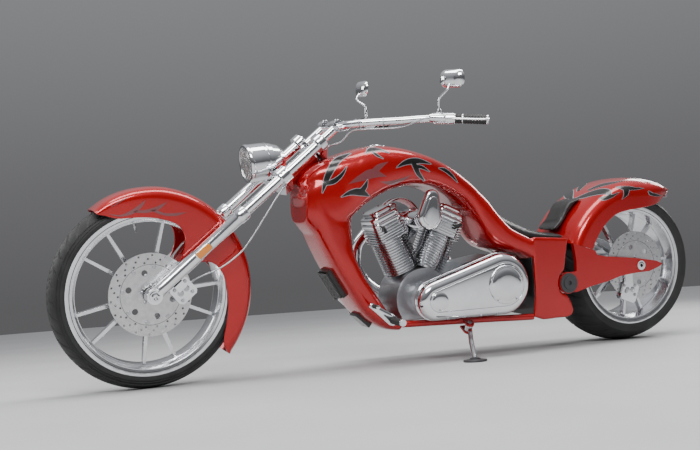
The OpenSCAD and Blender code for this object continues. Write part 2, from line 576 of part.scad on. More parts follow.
// ---- engine ----
crank_at = [978, 250];
case_r = 118;
module bank(s) translate([crank_at[0], 0, crank_at[1]]) rotate([0, s * engine_v / 2, 0]) children();
module crankcase() color([0.7, 0.7, 0.72]) place() difference() {
  union() {
    slab(-88, 85) intersection() {
      union() {
        translate(crank_at) circle(case_r);
        translate([crank_at[0] - 100, 171]) square([200, 60]);
      }
      translate([600, 170.4]) square([600, 400]);
    }
    slab(-116, -87) translate([crank_at[0] + 6, crank_at[1] + 14]) circle(92);
  }
}
module cylinders() color([0.75, 0.75, 0.77]) place() for (s = [-1, 1]) difference() {
  bank(s) translate([0, 0, case_r + seat_gap]) {
    cylinder(r = barrel_r - 18, h = 145);
    for (k = [0 : 11]) translate([0, 0, 8 + k * 11.4]) cylinder(r = barrel_r, h = 5);
  }
  translate([crank_at[0] - s * 400 + s * 1, 0, 500]) cube([800, 400, 700], center = true);
  translate([0, 0, 0]) slab(-200, 200) translate(crank_at) circle(case_r + seat_gap);
}
head_z = case_r + 145 + 2 * seat_gap;
module cylinder_heads() color([0.78, 0.78, 0.8]) place() for (s = [-1, 1]) bank(s)
  translate([0, 0, head_z]) {
    for (k = [0 : 4]) translate([0, 0, k * 12]) linear_extrude(6) intersection() {
      square([146, 158], center = true);
      circle(94);
    }
    linear_extrude(66) intersection() {
      square([118, 132], center = true);
      circle(78);
    }
    translate([0, 0, 60]) linear_extrude(44) intersection() {
      square([126, 146], center = true);
      circle(88);
    }
    translate([0, 0, 104]) linear_extrude(18) intersection() {
      square([94, 122], center = true);
      circle(68);
    }
  }
module intake_cover() color([0.85, 0.85, 0.87]) place() {
  slab(90, 128) union() {
    translate([958, 566]) circle(50);
    translate([946, 642]) circle(30);
    polygon([[908, 572], [916, 645], [976, 640], [1007, 560]]);
  }
  slab(-58, 91) translate([crank_at[0], 556]) circle(34);
  for (s = [-1, 1]) bank(s) translate([-s * (73 + seat_gap + 30), 0, head_z + 30])
    cube([60, 48, 44], center = true);
}
module air_cleaner() color([0.85, 0.85, 0.87]) place() translate([crank_at[0], 0, 556]) {
  rod_y(26, -100, -58 - seat_gap);
  rod_y(88, -150, -96);
  rod_y(70, -160, -149);
}
primary_rear = [690, 295];
module link_shape(a, ra, b, rb) {
  d = unit(b - a);
  s = [-d[1], d[0]];
  e = asin((ra - rb) / norm(b - a));
  u = s * cos(e) + d * sin(e);
  w = -s * cos(e) + d * sin(e);
  translate(a) circle(ra);
  translate(b) circle(rb);
  polygon([a + u * ra, b + u * rb, b + w * rb, a + w * ra]);
}
module primary_cover() color([0.85, 0.85, 0.87]) place() {
  slab(85 + seat_gap, 150) link_shape(primary_rear, 96, crank_at, 60);
  slab(148, 212) link_shape(primary_rear, 119, crank_at, 76);
  slab(211, 220) link_shape(primary_rear, 108, crank_at, 64);
  translate([primary_rear[0], 0, primary_rear[1]]) rod_y(80, 219, 232);
}
module transmission() color([0.7, 0.7, 0.72]) place() {
  slab(-95, 60) difference() {
    polygon([[566, 215], [600, 171], [850, 171], [850, 292], [790, 376], [640, 400], [566, 370]]);
    translate(crank_at) circle(case_r + seat_gap);
    translate([crank_at[0] - 100 - seat_gap, 160]) square([300, 80]);
  }
  translate([drive_at[0], 0, drive_at[1]]) {
    rod_y(drive_r, -143, -127);
    rod_y(26, -128, -94);
  }
}
module pipe(p, x) tube(concat([[x, -79 - 2 * seat_gap, 518]], smooth(concat([[x, -94, 518]], p), 4)),
  pipe_r, [0, 0.2, 1], 16);
module exhausts() color([0.85, 0.85, 0.87]) place() {
  pipe([[1122, -120, 512], [1148, -172, 450], [1132, -196, 350],
    [1046, -206, 262], [880, -212, 218], [520, -214, 205], [170, -214, 204]], 1114);
  pipe([[812, -120, 512], [778, -174, 450], [708, -200, 352],
    [600, -212, 296], [450, -214, 274], [230, -214, 270]], 828);
}
module regulator() color([0.08, 0.08, 0.08]) place() difference() {
  union() {
    slab(-50, 50) translate([bx(1323), 328]) rotate(58.8) square([120, 24], center = true);
    for (k = [-4 : 4]) translate([0, k * 11, 0]) slab(-2, 2) translate([bx(1326), 326])
      rotate(58.8) square([112, 34], center = true);
    slab(-34, 34) translate([bx(1208), 184]) rotate(42) square([70, 34], center = true);
  }
  spine(0.4);
}
module foot_set() {
  translate([bx(1150), 0, 186]) rod_y(17, 90, 140);
  translate([bx(1150), 0, 186]) rod_y(14, 139, 250);
  slab(150, 160) link_shape([bx(1150), 186], 20, [bx(1232), 246], 10);
  translate([bx(1232), 0, 246]) rod_y(8, 150, 215);
}
module forward_controls() color([0.8, 0.8, 0.82]) place() difference() {
  both() foot_set();
  spine(0.4);
}

// ---- side stand ----
stand_at = [820, 146, 132];
foot_y = 321;
foot_at = [896, foot_y, foot_y * tan(lean)];
stand_tilt = atan2(stand_at[2] - foot_at[2] - 10, foot_at[1] - stand_at[1]);
stand_pin_r = 6;
module stand_local() translate(stand_at) rotate([-stand_tilt, 0, 0]) children();
module side_stand() color([0.85, 0.85, 0.87]) place() {
  difference() {
    union() {
      stand_local() cylinder(r = 15, h = 25, center = true);
      tube([stand_at + [0, 8, -5], (stand_at + foot_at) / 2 + [2, 0, 5], foot_at + [0, 0, 10]],
        10, [1, 0, 0], 16);
      translate(foot_at) rotate([lean, 0, 0]) {
        cylinder(r = 44, h = 8);
        translate([0, 0, 7]) cylinder(r = 20, h = 8);
      }
    }
    stand_local() cylinder(r = stand_pin_r + run_gap, h = 60, center = true);
  }
}

downtube_cover();
tank();
rear_cowl();
side_panels();
belly_rails();
neck();
seat_pad();
seat_back();
oil_tank();
crankcase();
cylinders();
cylinder_heads();
intake_cover();
air_cleaner();
primary_cover();
transmission();
exhausts();
regulator();
forward_controls();
swingarm();
rear_fender();
pivot_caps();
rear_axle();
rear_caliper();
tail_light();
drive_belt();
triple_trees();
fork_legs();
handlebar();
grips();
hand_controls();
mirrors();
headlight();
front_fender();
front_axle();
front_caliper();
control_lines();
front_tyre();
front_rim();
front_disc();
rear_tyre();
rear_rim();
rear_disc();
rear_pulley();
side_stand();
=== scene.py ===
"""Looks for the chopper motorcycle, in metres, in the row frame."""
import json
import math

import bmesh
import bpy
from mathutils import Matrix, Vector
from mathutils.bvhtree import BVHTree


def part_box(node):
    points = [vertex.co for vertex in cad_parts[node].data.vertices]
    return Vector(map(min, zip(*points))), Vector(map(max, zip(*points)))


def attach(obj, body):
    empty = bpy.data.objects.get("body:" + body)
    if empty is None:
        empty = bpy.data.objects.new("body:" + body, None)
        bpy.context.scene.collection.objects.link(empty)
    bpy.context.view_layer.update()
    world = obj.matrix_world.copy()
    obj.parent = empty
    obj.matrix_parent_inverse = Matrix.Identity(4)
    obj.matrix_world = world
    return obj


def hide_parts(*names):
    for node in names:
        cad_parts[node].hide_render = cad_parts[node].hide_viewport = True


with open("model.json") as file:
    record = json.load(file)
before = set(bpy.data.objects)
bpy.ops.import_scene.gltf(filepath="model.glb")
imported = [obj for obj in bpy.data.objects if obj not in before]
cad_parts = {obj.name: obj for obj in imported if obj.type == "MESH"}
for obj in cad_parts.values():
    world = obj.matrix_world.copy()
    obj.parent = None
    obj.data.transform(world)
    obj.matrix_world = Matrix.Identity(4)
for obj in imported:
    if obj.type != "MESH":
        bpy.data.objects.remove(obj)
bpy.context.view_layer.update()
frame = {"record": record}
V = Vector

# ---- the stance, as in the CAD source, in millimetres ----
WHEELBASE, LEAN, RAKE, REST_STEER, LEAD = 2030.0, 5.5, 50.3, 4.6, 46.0
X_MID, Y_MID = 1020.0, 73.0
FRONT_R, FRONT_W, REAR_R, REAR_W = 340.0, 120.0, 328.0, 246.0
FRONT_RIM, REAR_RIM = 289.0, 251.0
FORK_Y = 97.0
TREE_LOW, TREE_HIGH, BAR_Z = 612.0, 802.0, 925.0
CRANK, ENGINE_V = (978.0, 250.0), 48.0


def rad(a):
    return math.radians(a)


def sind(a):
    return math.sin(rad(a))


def cosd(a):
    return math.cos(rad(a))


LEANING = Matrix.Rotation(-rad(LEAN), 3, "X")
FORK_UP = V((-sind(RAKE), 0, cosd(RAKE)))
FORK_N = V((cosd(RAKE), 0, sind(RAKE)))
STEER = Matrix.Rotation(rad(REST_STEER), 3, FORK_UP)
front_crown, rear_crown = FRONT_W * 0.55, 190.0
spin = LEANING @ (STEER @ V((0, 1, 0)))
shift = LEAD * (STEER @ FORK_N - FORK_N)
row_z = (FRONT_R - front_crown) * math.sqrt(1 - spin.z**2) + front_crown
FRONT_Z = (row_z + shift.y * sind(LEAN)) / cosd(LEAN) - shift.z
REAR_Z = REAR_R - rear_crown + rear_crown / cosd(LEAN)
AXLE = V((WHEELBASE, 0, FRONT_Z))
STEER_AT = AXLE - LEAD * FORK_N


def bike(p):
    """Upright bike millimetres to row metres."""
    q = LEANING @ V(p)
    return V((q.x - X_MID, q.y - Y_MID, q.z)) / 1000


def front(p):
    """Upright bike millimetres on the steered end to row metres."""
    return bike(STEER_AT + STEER @ (V(p) - STEER_AT))


def fork(p):
    """Fork millimetres (ahead, left, up the leg from the axle) to row metres."""
    p = V(p)
    return front(AXLE + FORK_N * p.x + V((0, p.y, 0)) + FORK_UP * p.z)


def front_wheel(p):
    return front(AXLE + V(p))


def rear_wheel(p):
    return bike(V((0, 0, REAR_Z)) + V(p))


def heading(put, d):
    """A direction of the bike, or of its steered end, as a unit vector in the row."""
    return (put(d) - put((0, 0, 0))).normalized()


OUT = heading(bike, (0, 1, 0))
SPIN = heading(front, (0, 1, 0))
UP = heading(fork, (0, 0, 1))
AHEAD = heading(fork, (1, 0, 0))
LEFT = heading(fork, (0, 1, 0))


# ---- camera, at the photograph's viewing angle ----
def add_camera():
    yaw, pitch, roll, focal = 0.395311, -0.064285, 0.069682, 931.145
    d = V((-math.sin(yaw) * math.cos(pitch), -math.cos(yaw) * math.cos(pitch), -math.sin(pitch)))
    r = d.cross(V((0, 0, 1))).normalized()
    u = r.cross(d)
    turn = Matrix.Rotation(roll, 3, d)
    r, u = turn @ r, turn @ u
    cam = bpy.data.cameras.new("camera")
    cam.sensor_width = 36
    cam.lens = focal / 700 * 36
    cam.clip_start = 0.05
    o = bpy.data.objects.new("camera", cam)
    bpy.context.scene.collection.objects.link(o)
    m = Matrix((r, u, -d)).transposed().to_4x4()
    m.translation = V((2620.486 - X_MID, 3349.771 - Y_MID, 312.557)) / 1000
    o.matrix_world = m
    bpy.context.scene.camera = o


add_camera()


# ---- materials ----
def nodes_of(name):
    m = bpy.data.materials.new(name)
    m.use_nodes = True
    t = m.node_tree
    return m, t, t.nodes["Principled BSDF"]


def link(t, a, ai, b, bi):
    t.links.new(a.outputs[ai], b.inputs[bi])


def noise(t, scale, detail=4.0, rough=0.5, kind="Object", stretch=None):
    c = t.nodes.new("ShaderNodeTexCoord")
    n = t.nodes.new("ShaderNodeTexNoise")
    n.inputs["Scale"].default_value = scale
    n.inputs["Detail"].default_value = detail
    n.inputs["Roughness"].default_value = rough
    if stretch:
        k = t.nodes.new("ShaderNodeMapping")
        k.inputs["Scale"].default_value = stretch
        link(t, c, kind, k, 0)
        link(t, k, 0, n, 0)
    else:
        link(t, c, kind, n, 0)
    return n


def ramp(t, src, stops, out="Fac"):
    r = t.nodes.new("ShaderNodeValToRGB")
    while len(r.color_ramp.elements) < len(stops):
        r.color_ramp.elements.new(0.5)
    for e, (p, c) in zip(r.color_ramp.elements, stops):
        e.position = p
        e.color = (*c, 1) if len(c) == 3 else c
    link(t, src, out, r, 0)
    return r


def bump(t, src, out, strength, distance, bsdf):
    b = t.nodes.new("ShaderNodeBump")
    b.inputs["Strength"].default_value = strength
    b.inputs["Distance"].default_value = distance
    link(t, src, out, b, "Height")
    link(t, b, 0, bsdf, "Normal")
    return b


def paint(name, col, deep, rough=0.16, flake=0.0, coat=1.0):
    m, t, b = nodes_of(name)
    n = noise(t, 3.0, 3)
    r = ramp(t, n, [(0.3, deep), (0.7, col)])
    link(t, r, 0, b, "Base Color")
    b.inputs["Roughness"].default_value = rough
    b.inputs["Metallic"].default_value = flake
    b.inputs["Coat Weight"].default_value = coat
    b.inputs["Coat Roughness"].default_value = 0.03
    f = noise(t, 160.0, 2)
    bump(t, f, "Fac", 0.02, 0.001, b)
    return m


def metal(name, col, rough, spread=0.06, scale=14.0, stretch=None, dent=0.03, grime=None):
    m, t, b = nodes_of(name)
    b.inputs["Metallic"].default_value = 1.0
    n = noise(t, scale, 6, 0.6, stretch=stretch)
    lo = tuple(c * 0.86 for c in col) if grime is None else grime
    r = ramp(t, n, [(0.25, lo), (0.6, col)])
    link(t, r, 0, b, "Base Color")
    q = ramp(t, n, [(0.3, (rough + spread,) * 3), (0.7, (rough,) * 3)])
    link(t, q, 0, b, "Roughness")
    bump(t, n, "Fac", dent, 0.001, b)
    return m


def glassy(name):
    m, t, b = nodes_of(name)
    b.inputs["Transmission Weight"].default_value = 0.85
    b.inputs["IOR"].default_value = 1.46
    n = noise(t, 6.0, 2)
    q = ramp(t, n, [(0.3, (0.03,) * 3), (0.7, (0.06,) * 3)])
    link(t, q, 0, b, "Roughness")
    bump(t, n, "Fac", 0.03, 0.001, b)
    return m


def soft(name, col, low, rough, scale, strength, kind="voronoi"):
    m, t, b = nodes_of(name)
    n = noise(t, 22.0, 5)
    r = ramp(t, n, [(0.3, low), (0.7, col)])
    link(t, r, 0, b, "Base Color")
    b.inputs["Roughness"].default_value = rough
    c = t.nodes.new("ShaderNodeTexCoord")
    if kind == "voronoi":
        v = t.nodes.new("ShaderNodeTexVoronoi")
        v.inputs["Scale"].default_value = scale
        link(t, c, "Object", v, 0)
        bump(t, v, "Distance", strength, 0.0012, b)
    else:
        v = noise(t, scale, 4)
        bump(t, v, "Fac", strength, 0.001, b)
    return m


RED = paint("red_paint", (0.46, 0.0008, 0.002), (0.38, 0.0005, 0.0015), rough=0.2, flake=0.35, coat=0.6)
BLACK = paint("black_paint", (0.004, 0.004, 0.004), (0.008, 0.007, 0.007), rough=0.28, coat=0.35)
GREY_LINE = paint("pinstripe_paint", (0.30, 0.30, 0.32), (0.22, 0.22, 0.24), rough=0.3, coat=0.6)
AMBER = paint("amber_lens", (0.85, 0.30, 0.02), (0.70, 0.20, 0.01), rough=0.12, coat=0.8)
LENS = paint("red_lens", (0.42, 0.004, 0.004), (0.30, 0.002, 0.002), rough=0.08, coat=1.0)
BRAID = metal("braided_steel", (0.55, 0.56, 0.58), 0.32, 0.1, 900.0, dent=0.4)
MIRROR = metal("mirror_glass", (0.92, 0.93, 0.95), 0.012, 0.01, 3.0, dent=0.0)
SOOT = soft("pipe_soot", (0.02, 0.018, 0.016), (0.01, 0.01, 0.01), 0.85, 300.0, 0.3, "noise")
GLASS = glassy("clear_lens")
# painted sheen: a pale dusky red that paints the grey studio reflecting on the glossy red paint
PAINTED_SHEEN = paint("painted_sheen_paint", (0.20, 0.055, 0.06), (0.15, 0.03, 0.035), rough=0.25, coat=0.6)
THREAD = soft("seat_thread", (0.10, 0.10, 0.10), (0.06, 0.06, 0.06), 0.6, 900.0, 0.2, "noise")
DARK = paint("dark_paint", (0.045, 0.045, 0.05), (0.03, 0.03, 0.032), rough=0.4, coat=0.2)
CHROME = metal("chrome_plate", (0.86, 0.87, 0.89), 0.045, 0.04, 9.0, dent=0.01)
POLISHED = metal("polished_alloy", (0.80, 0.81, 0.83), 0.14, 0.08, 18.0)
CAST = metal("cast_alloy", (0.42, 0.43, 0.45), 0.30, 0.10, 60.0, dent=0.12)
FINS = metal("fin_alloy", (0.74, 0.75, 0.77), 0.16, 0.10, 40.0, dent=0.08)
STEEL = metal("disc_steel", (0.62, 0.62, 0.63), 0.26, 0.08, 60.0, dent=0.04)
BOLT = metal("bolt_steel", (0.55, 0.56, 0.58), 0.25, 0.1, 90.0, dent=0.06)
TYRE = soft("tyre_rubber", (0.022, 0.022, 0.023), (0.012, 0.012, 0.012), 0.62, 260.0, 0.10, "noise")
RUBBER = soft("black_rubber", (0.02, 0.02, 0.02), (0.012, 0.012, 0.012), 0.55, 420.0, 0.15, "noise")
LEATHER = soft("seat_leather", (0.022, 0.021, 0.021), (0.012, 0.012, 0.012), 0.42, 480.0, 0.35)

SLOT_LOOK = {
    "red_paint": RED, "black_paint": BLACK, "seat_leather": LEATHER, "engine_alloy": CAST,
    "chrome": CHROME, "polished_rim": POLISHED, "disc_steel": STEEL, "tyre_rubber": TYRE,
    "black_rubber": RUBBER, "dark_metal": DARK, "red_lens": LENS,
}
for part in frame["record"]["subparts"]:
    o = bpy.data.objects.get(part["node"])
    if o is None:
        continue
    look = SLOT_LOOK[part["material_slot"]]
    if part["node"] in ("cylinders", "cylinder_heads"):
        look = FINS
    o.data.materials.clear()
    o.data.materials.append(look)


# ---- floor and light ----
def add_floor():
    bm = bmesh.new()
    n, r = 64, 9.0
    c = V((0, 0, 0))
    ring = [bm.verts.new(c + V((r * cosd(360 * i / n), r * sind(360 * i / n), 0))) for i in range(n)]
    bm.faces.new(ring)
    me = bpy.data.meshes.new("floor")
    bm.to_mesh(me)
    o = bpy.data.objects.new("floor", me)
    bpy.context.scene.collection.objects.link(o)
    m, t, b = nodes_of("floor_paint")
    k = noise(t, 2.0, 3)
    q = ramp(t, k, [(0.3, (0.47, 0.47, 0.47)), (0.7, (0.51, 0.51, 0.51))])
    link(t, q, 0, b, "Base Color")
    b.inputs["Roughness"].default_value = 0.7
    me.materials.append(m)


def area_light(name, at, to, size, power, shape="RECTANGLE", size_y=None):
    L = bpy.data.lights.new(name, "AREA")
    L.shape = shape
    L.size = size
    if size_y:
        L.size_y = size_y
    L.energy = power
    o = bpy.data.objects.new(name, L)
    bpy.context.scene.collection.objects.link(o)
    o.location = at
    o.rotation_euler = (V(to) - V(at)).to_track_quat("-Z", "Y").to_euler()
    return o


add_floor()
area_light("key", (1.8, 3.6, 3.4), (0.1, 0, 0.5), 2.6, 170, size_y=1.4)
area_light("top", (0.0, 0.3, 3.6), (0, 0, 0.4), 4.2, 130, size_y=1.2)
area_light("rim", (-3.6, -1.2, 2.2), (-0.2, 0, 0.4), 2.0, 70, size_y=1.2)
area_light("fill", (3.4, -1.4, 1.8), (0.6, 0, 0.4), 2.0, 50, size_y=1.4)
world = bpy.data.worlds.new("studio")
bpy.context.scene.world = world
world.use_nodes = True
sky = world.node_tree
where = sky.nodes.new("ShaderNodeTexCoord")
split = sky.nodes.new("ShaderNodeSeparateXYZ")
link(sky, where, "Generated", split, 0)
glow = ramp(sky, split, [(0.0, (0.15, 0.15, 0.155)), (0.12, (0.20, 0.20, 0.21)), (0.35, (0.34, 0.35, 0.36)),
                         (0.8, (0.85, 0.86, 0.9))], out="Z")
link(sky, glow, "Color", sky.nodes["Background"], "Color")
sky.nodes["Background"].inputs["Strength"].default_value = 0.75


# ---- mesh helpers ----
def piece(name, verts, faces, look, body, replaces=(), slot=None, sharp=40.0, clean=False):
    """A mesh in row metres that rides on a body."""
    me = bpy.data.meshes.new(name)
    me.from_pydata([tuple(v) for v in verts], [], [tuple(f) for f in faces])
    b = bmesh.new()
    b.from_mesh(me)
    if clean:
        bmesh.ops.remove_doubles(b, verts=b.verts, dist=1e-5)
    bmesh.ops.recalc_face_normals(b, faces=b.faces)
    b.to_mesh(me)
    b.free()
    me.shade_smooth()
    me.set_sharp_from_angle(angle=rad(sharp))
    me.materials.append(look)
    o = bpy.data.objects.new(name, me)
    bpy.context.scene.collection.objects.link(o)
    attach(o, body)
    if replaces:
        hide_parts(*replaces)
    return o


class Pile:
    """Vertices and faces of several closed shapes gathered in one piece."""

    def __init__(self):
        self.v, self.f = [], []

    def add(self, verts, faces):
        k = len(self.v)
        self.v += [V(q) for q in verts]
        self.f += [tuple(i + k for i in f) for f in faces]

    def piece(self, name, look, body, **kw):
        return piece(name, self.v, self.f, look, body, **kw)


def grid_faces(rows, cols, wrap_cols=True, wrap_rows=False, caps=True):
    """Faces between rows of points, each row as long as the others."""
    f = []
    for i in range(rows if wrap_rows else rows - 1):
        for j in range(cols if wrap_cols else cols - 1):
            a, b = i * cols + j, i * cols + (j + 1) % cols
            c, d = ((i + 1) % rows) * cols + (j + 1) % cols, ((i + 1) % rows) * cols + j
            f.append((a, b, c, d))
    if caps and not wrap_rows:
        f.append(tuple(range(cols)))
        f.append(tuple(range((rows - 1) * cols, rows * cols)))
    return f


def loft(pile, rows, caps=True, wrap_rows=False, wrap_cols=True):
    pile.add([q for r in rows for q in r], grid_faces(len(rows), len(rows[0]), wrap_cols, wrap_rows, caps))


def smooth(p, k):
    """Catmull-Rom through rows of numbers, k steps a span."""
    out = []
    for i in range(len(p) - 1):
        a, b, c, d = p[max(0, i - 1)], p[i], p[i + 1], p[min(len(p) - 1, i + 2)]
        for j in range(k):
            t = j / k
            out.append([0.5 * (2 * q + (r - o) * t + (2 * o - 5 * q + 4 * r - s) * t * t
                        + (3 * q - o - 3 * r + s) * t**3) for o, q, r, s in zip(a, b, c, d)])
    out.append(list(p[-1]))
    return out


def tube(pile, path, r, n=16, caps=True):
    """A swept round tube through points in row metres; r may be a list."""
    path = [V(q) for q in path]
    m = len(path)
    rs = r if isinstance(r, (list, tuple)) else [r] * m
    t0 = (path[1] - path[0]).normalized()
    a = t0.orthogonal().normalized()
    rows = []
    for i in range(m):
        t = (path[min(m - 1, i + 1)] - path[max(0, i - 1)]).normalized()
        a = (a - t * a.dot(t)).normalized()
        b = t.cross(a)
        rows.append([path[i] + rs[i] * (a * cosd(360 * j / n) + b * sind(360 * j / n)) for j in range(n)])
    loft(pile, rows, caps)


def lathe(pile, at, axis, prof, n=48, caps=True):
    """prof is (radius, distance along the axis) in metres."""
    at, axis = V(at), V(axis).normalized()
    a = axis.orthogonal().normalized()
    b = axis.cross(a)
    rows = [[at + axis * h + max(r, 1e-5) * (a * cosd(360 * j / n) + b * sind(360 * j / n)) for j in range(n)]
            for r, h in prof]
    loft(pile, rows, caps)


def ring(pile, at, axis, prof, n=64):
    """A closed profile turned about the axis."""
    at, axis = V(at), V(axis).normalized()
    a = axis.orthogonal().normalized()
    b = axis.cross(a)
    rows = [[at + axis * h + r * (a * cosd(360 * j / n) + b * sind(360 * j / n)) for j in range(n)]
            for r, h in prof]
    loft(pile, rows, wrap_rows=True)


def dome_bolt(pile, at, axis, r, h=None, n=14):
    """A domed head with a socket in it."""
    h = h or r * 0.9
    lathe(pile, at, axis, [(r, -r * 0.3), (r, h * 0.35), (r * 0.92, h * 0.62), (r * 0.7, h * 0.86),
                           (r * 0.36, h * 0.98), (r * 0.30, h * 0.80), (r * 0.26, h * 0.55)], n)


def hex_bolt(pile, at, axis, r, h):
    """A hexagon head on a round washer."""
    lathe(pile, at, axis, [(r * 1.35, -0.001), (r * 1.35, h * 0.2), (r * 1.3, h * 0.26)], 20)
    lathe(pile, at, axis, [(r, h * 0.2), (r, h * 0.9), (r * 0.9, h)], 6)


def rounded(r, y0, y1, k):
    """(shrink, place) rows from y0 to y1 with rims of radius r, in mm."""
    low = [(r * (1 - sind(90 * i / k)), y0 + r * (1 - cosd(90 * i / k))) for i in range(k + 1)]
    high = [(r * (1 - cosd(90 * i / k)), y1 - r * (1 - sind(90 * i / k))) for i in range(k + 1)]
    return low + high


def band(pile, at, axis, r0, r1, h, n):
    """A plain square ring about the axis, 2h wide."""
    ring(pile, at, axis, [(r0, -h), (r1, -h), (r1, h), (r0, h)], n)


def link_loop(a, ra, b, rb, n=28):
    """Outline of two round ends joined by straight sides, shrunk by d."""
    def loop(d):
        r0, r1 = ra - d, rb - d
        u = (V(b) - V(a)).normalized()
        s = V((-u.y, u.x))
        e = math.asin((ra - rb) / (V(b) - V(a)).length)
        out = []
        for c, r, lo, hi in ((V(a), r0, 90 - math.degrees(e), 270 + math.degrees(e)),
                             (V(b), r1, 270 + math.degrees(e), 450 - math.degrees(e))):
            for i in range(n + 1):
                t = rad(lo + (hi - lo) * i / n)
                q = c + r * (u * math.cos(t) + s * math.sin(t))
                out.append((q.x, q.y))
        return out
    return loop


def box_loop(cx, cz, w, h, r, turn=0.0, n=5):
    """Rounded rectangle outline, shrunk by d."""
    def loop(d):
        out = []
        rr = max(r - d * 0.6, 1.0)
        for sx, sz, a0 in ((1, 1, 0), (-1, 1, 90), (-1, -1, 180), (1, -1, 270)):
            for i in range(n + 1):
                a = a0 + 90 * i / n
                x = sx * (w / 2 - d - rr) + rr * cosd(a)
                z = sz * (h / 2 - d - rr) + rr * sind(a)
                out.append((cx + x * cosd(turn) - z * sind(turn), cz + x * sind(turn) + z * cosd(turn)))
        return out
    return loop


def power(v, e):
    """Power that keeps the sign, which squares off a circle when e is under 1."""
    return math.copysign(abs(v) ** e, v)


def station(x, top, bottom, half, e, n):
    """An upright section of the body at x: a squared-off ellipse of n points, in mm."""
    return [(x, half * power(cosd(-360 * j / n), e),
             (top + bottom) / 2 + (top - bottom) / 2 * power(sind(-360 * j / n), e)) for j in range(n)]


def slanted(f, b, half, e, n):
    """A section across the spine from its front edge f to its back edge b, each (x, z) in mm."""
    return [((f[0] + b[0]) / 2 + (f[0] - b[0]) / 2 * power(sind(360 * j / n), e),
             half * power(cosd(360 * j / n), e),
             (f[1] + b[1]) / 2 + (f[1] - b[1]) / 2 * power(sind(360 * j / n), e)) for j in range(n)]


def on_table(table, x):
    """Smooth value from a table of (place, value)."""
    p = table
    if x <= p[0][0]:
        return p[0][1]
    if x >= p[-1][0]:
        return p[-1][1]
    i = max(k for k in range(len(p) - 1) if p[k][0] <= x)
    h = [p[k + 1][0] - p[k][0] for k in range(len(p) - 1)]
    m = [(p[k + 1][1] - p[k][1]) / h[k] for k in range(len(h))]

    def slope(k):
        if k == 0:
            return m[0]
        if k == len(p) - 1:
            return m[-1]
        return 0 if m[k - 1] * m[k] <= 0 else 2 * m[k - 1] * m[k] / (m[k - 1] + m[k])
    t = (x - p[i][0]) / h[i]
    a, b = slope(i) * h[i], slope(i + 1) * h[i]
    y0, y1 = p[i][1], p[i + 1][1]
    return (y0 * (2 * t**3 - 3 * t * t + 1) + a * (t**3 - 2 * t * t + t) + y1 * (3 * t * t - 2 * t**3)
            + b * (t**3 - t * t))


# ---- one painted skin over spine, tank, cowl and side panels ----
spine_rows = [[1468, 662, 1262, 577, 118], [1446, 600, 1266, 530, 122], [1418, 520, 1262, 452, 122],
              [1384, 446, 1244, 398, 122], [1350, 380, 1222, 352, 120], [1314, 320, 1196, 312, 118],
              [1276, 258, 1170, 274, 115], [1236, 205, 1142, 230, 112], [1190, 165, 1112, 196, 108],
              [1140, 140, 1094, 182, 104], [1086, 131, 1078, 172, 100]]
tank_rows = [[1462, 722, 662, 52, 0.75], [1440, 752, 656, 84, 0.7], [1400, 782, 638, 106, 0.62],
             [1350, 800, 618, 120, 0.58], [1294, 816, 594, 132, 0.56], [1258, 826, 584, 138, 0.56],
             [1223, 836, 612, 142, 0.58], [1151, 846, 654, 146, 0.6], [1079, 840, 679, 146, 0.6],
             [1006, 824, 688, 144, 0.6], [931, 799, 680, 140, 0.6], [856, 762, 650, 135, 0.58],
             [790, 716, 606, 130, 0.56], [750, 686, 556, 128, 0.56]]
cowl_rows = [[756, 689, 562, 128, 0.56], [704, 646, 470, 130, 0.56], [672, 606, 436, 133, 0.56],
             [648, 572, 424, 137, 0.54], [607, 522, 410, 146, 0.52], [560, 492, 396, 156, 0.5],
             [524, 474, 376, 164, 0.48]]
gusset = [[1452, 705, 560, 96, 0.6], [1420, 740, 520, 114, 0.6], [1384, 762, 500, 121, 0.6],
          [1350, 776, 500, 125, 0.6], [1316, 786, 520, 128, 0.6], [1290, 792, 552, 131, 0.6],
          [1266, 796, 574, 134, 0.58]]
skin = Pile()
loft(skin, [[bike(q) for q in slanted(r[:2], r[2:4], r[4], 0.62, 96)] for r in smooth(spine_rows, 8)])
loft(skin, [[bike(q) for q in station(*r, 96)] for r in smooth(tank_rows, 8)])
loft(skin, [[bike(q) for q in station(*r, 96)] for r in smooth(cowl_rows, 8)])
loft(skin, [[bike(q) for q in station(*r, 96)] for r in smooth(gusset, 6)])
panel = [(356, 459), (361, 440), (370, 390), (378, 332), (400, 314), (403, 296), (408, 277), (403, 256),
         (395, 241), (366, 226), (348, 200), (339, 164), (346, 146), (371, 138), (487, 137), (530, 152),
         (526, 176), (519, 230), (519, 278), (523, 340), (523, 470), (480, 468), (420, 464)]
for s in (1, -1):
    rows = []
    for d, y in ((3, 148), (0, 151), (0, 162), (1.2, 165), (4, 166)):
        c = V((440, 300))
        rows.append([bike((x + (d if x < c.x else -d), s * y, z + (d if z < c.y else -d))) for x, z in panel])
    loft(skin, rows)
rough_skin = skin.piece("painted_skin", RED, "frame", sharp=60.0,
                        replaces=("downtube_cover", "tank", "rear_cowl", "side_panels"), slot="red_paint")


def remake(o, voxel, turns):
    """Melts the shapes of one object into one smooth skin of the given voxel size (m)."""
    k = o.modifiers.new("melt", "REMESH")
    k.mode = "VOXEL"
    k.voxel_size = voxel
    g = o.modifiers.new("ease", "SMOOTH")
    g.factor, g.iterations = 0.5, turns
    done = bpy.data.meshes.new_from_object(o.evaluated_get(bpy.context.evaluated_depsgraph_get()))
    o.modifiers.clear()
    done.materials.clear()
    done.materials.append(o.data.materials[0])
    done.shade_smooth()
    o.data = done


remake(rough_skin, 0.0045, 10)


def tree_of(o):
    """A search tree over a piece, so that marks can be laid on its surface."""
    return BVHTree.FromPolygons([o.matrix_world @ v.co for v in o.data.vertices],
                                [tuple(p.vertices) for p in o.data.polygons])


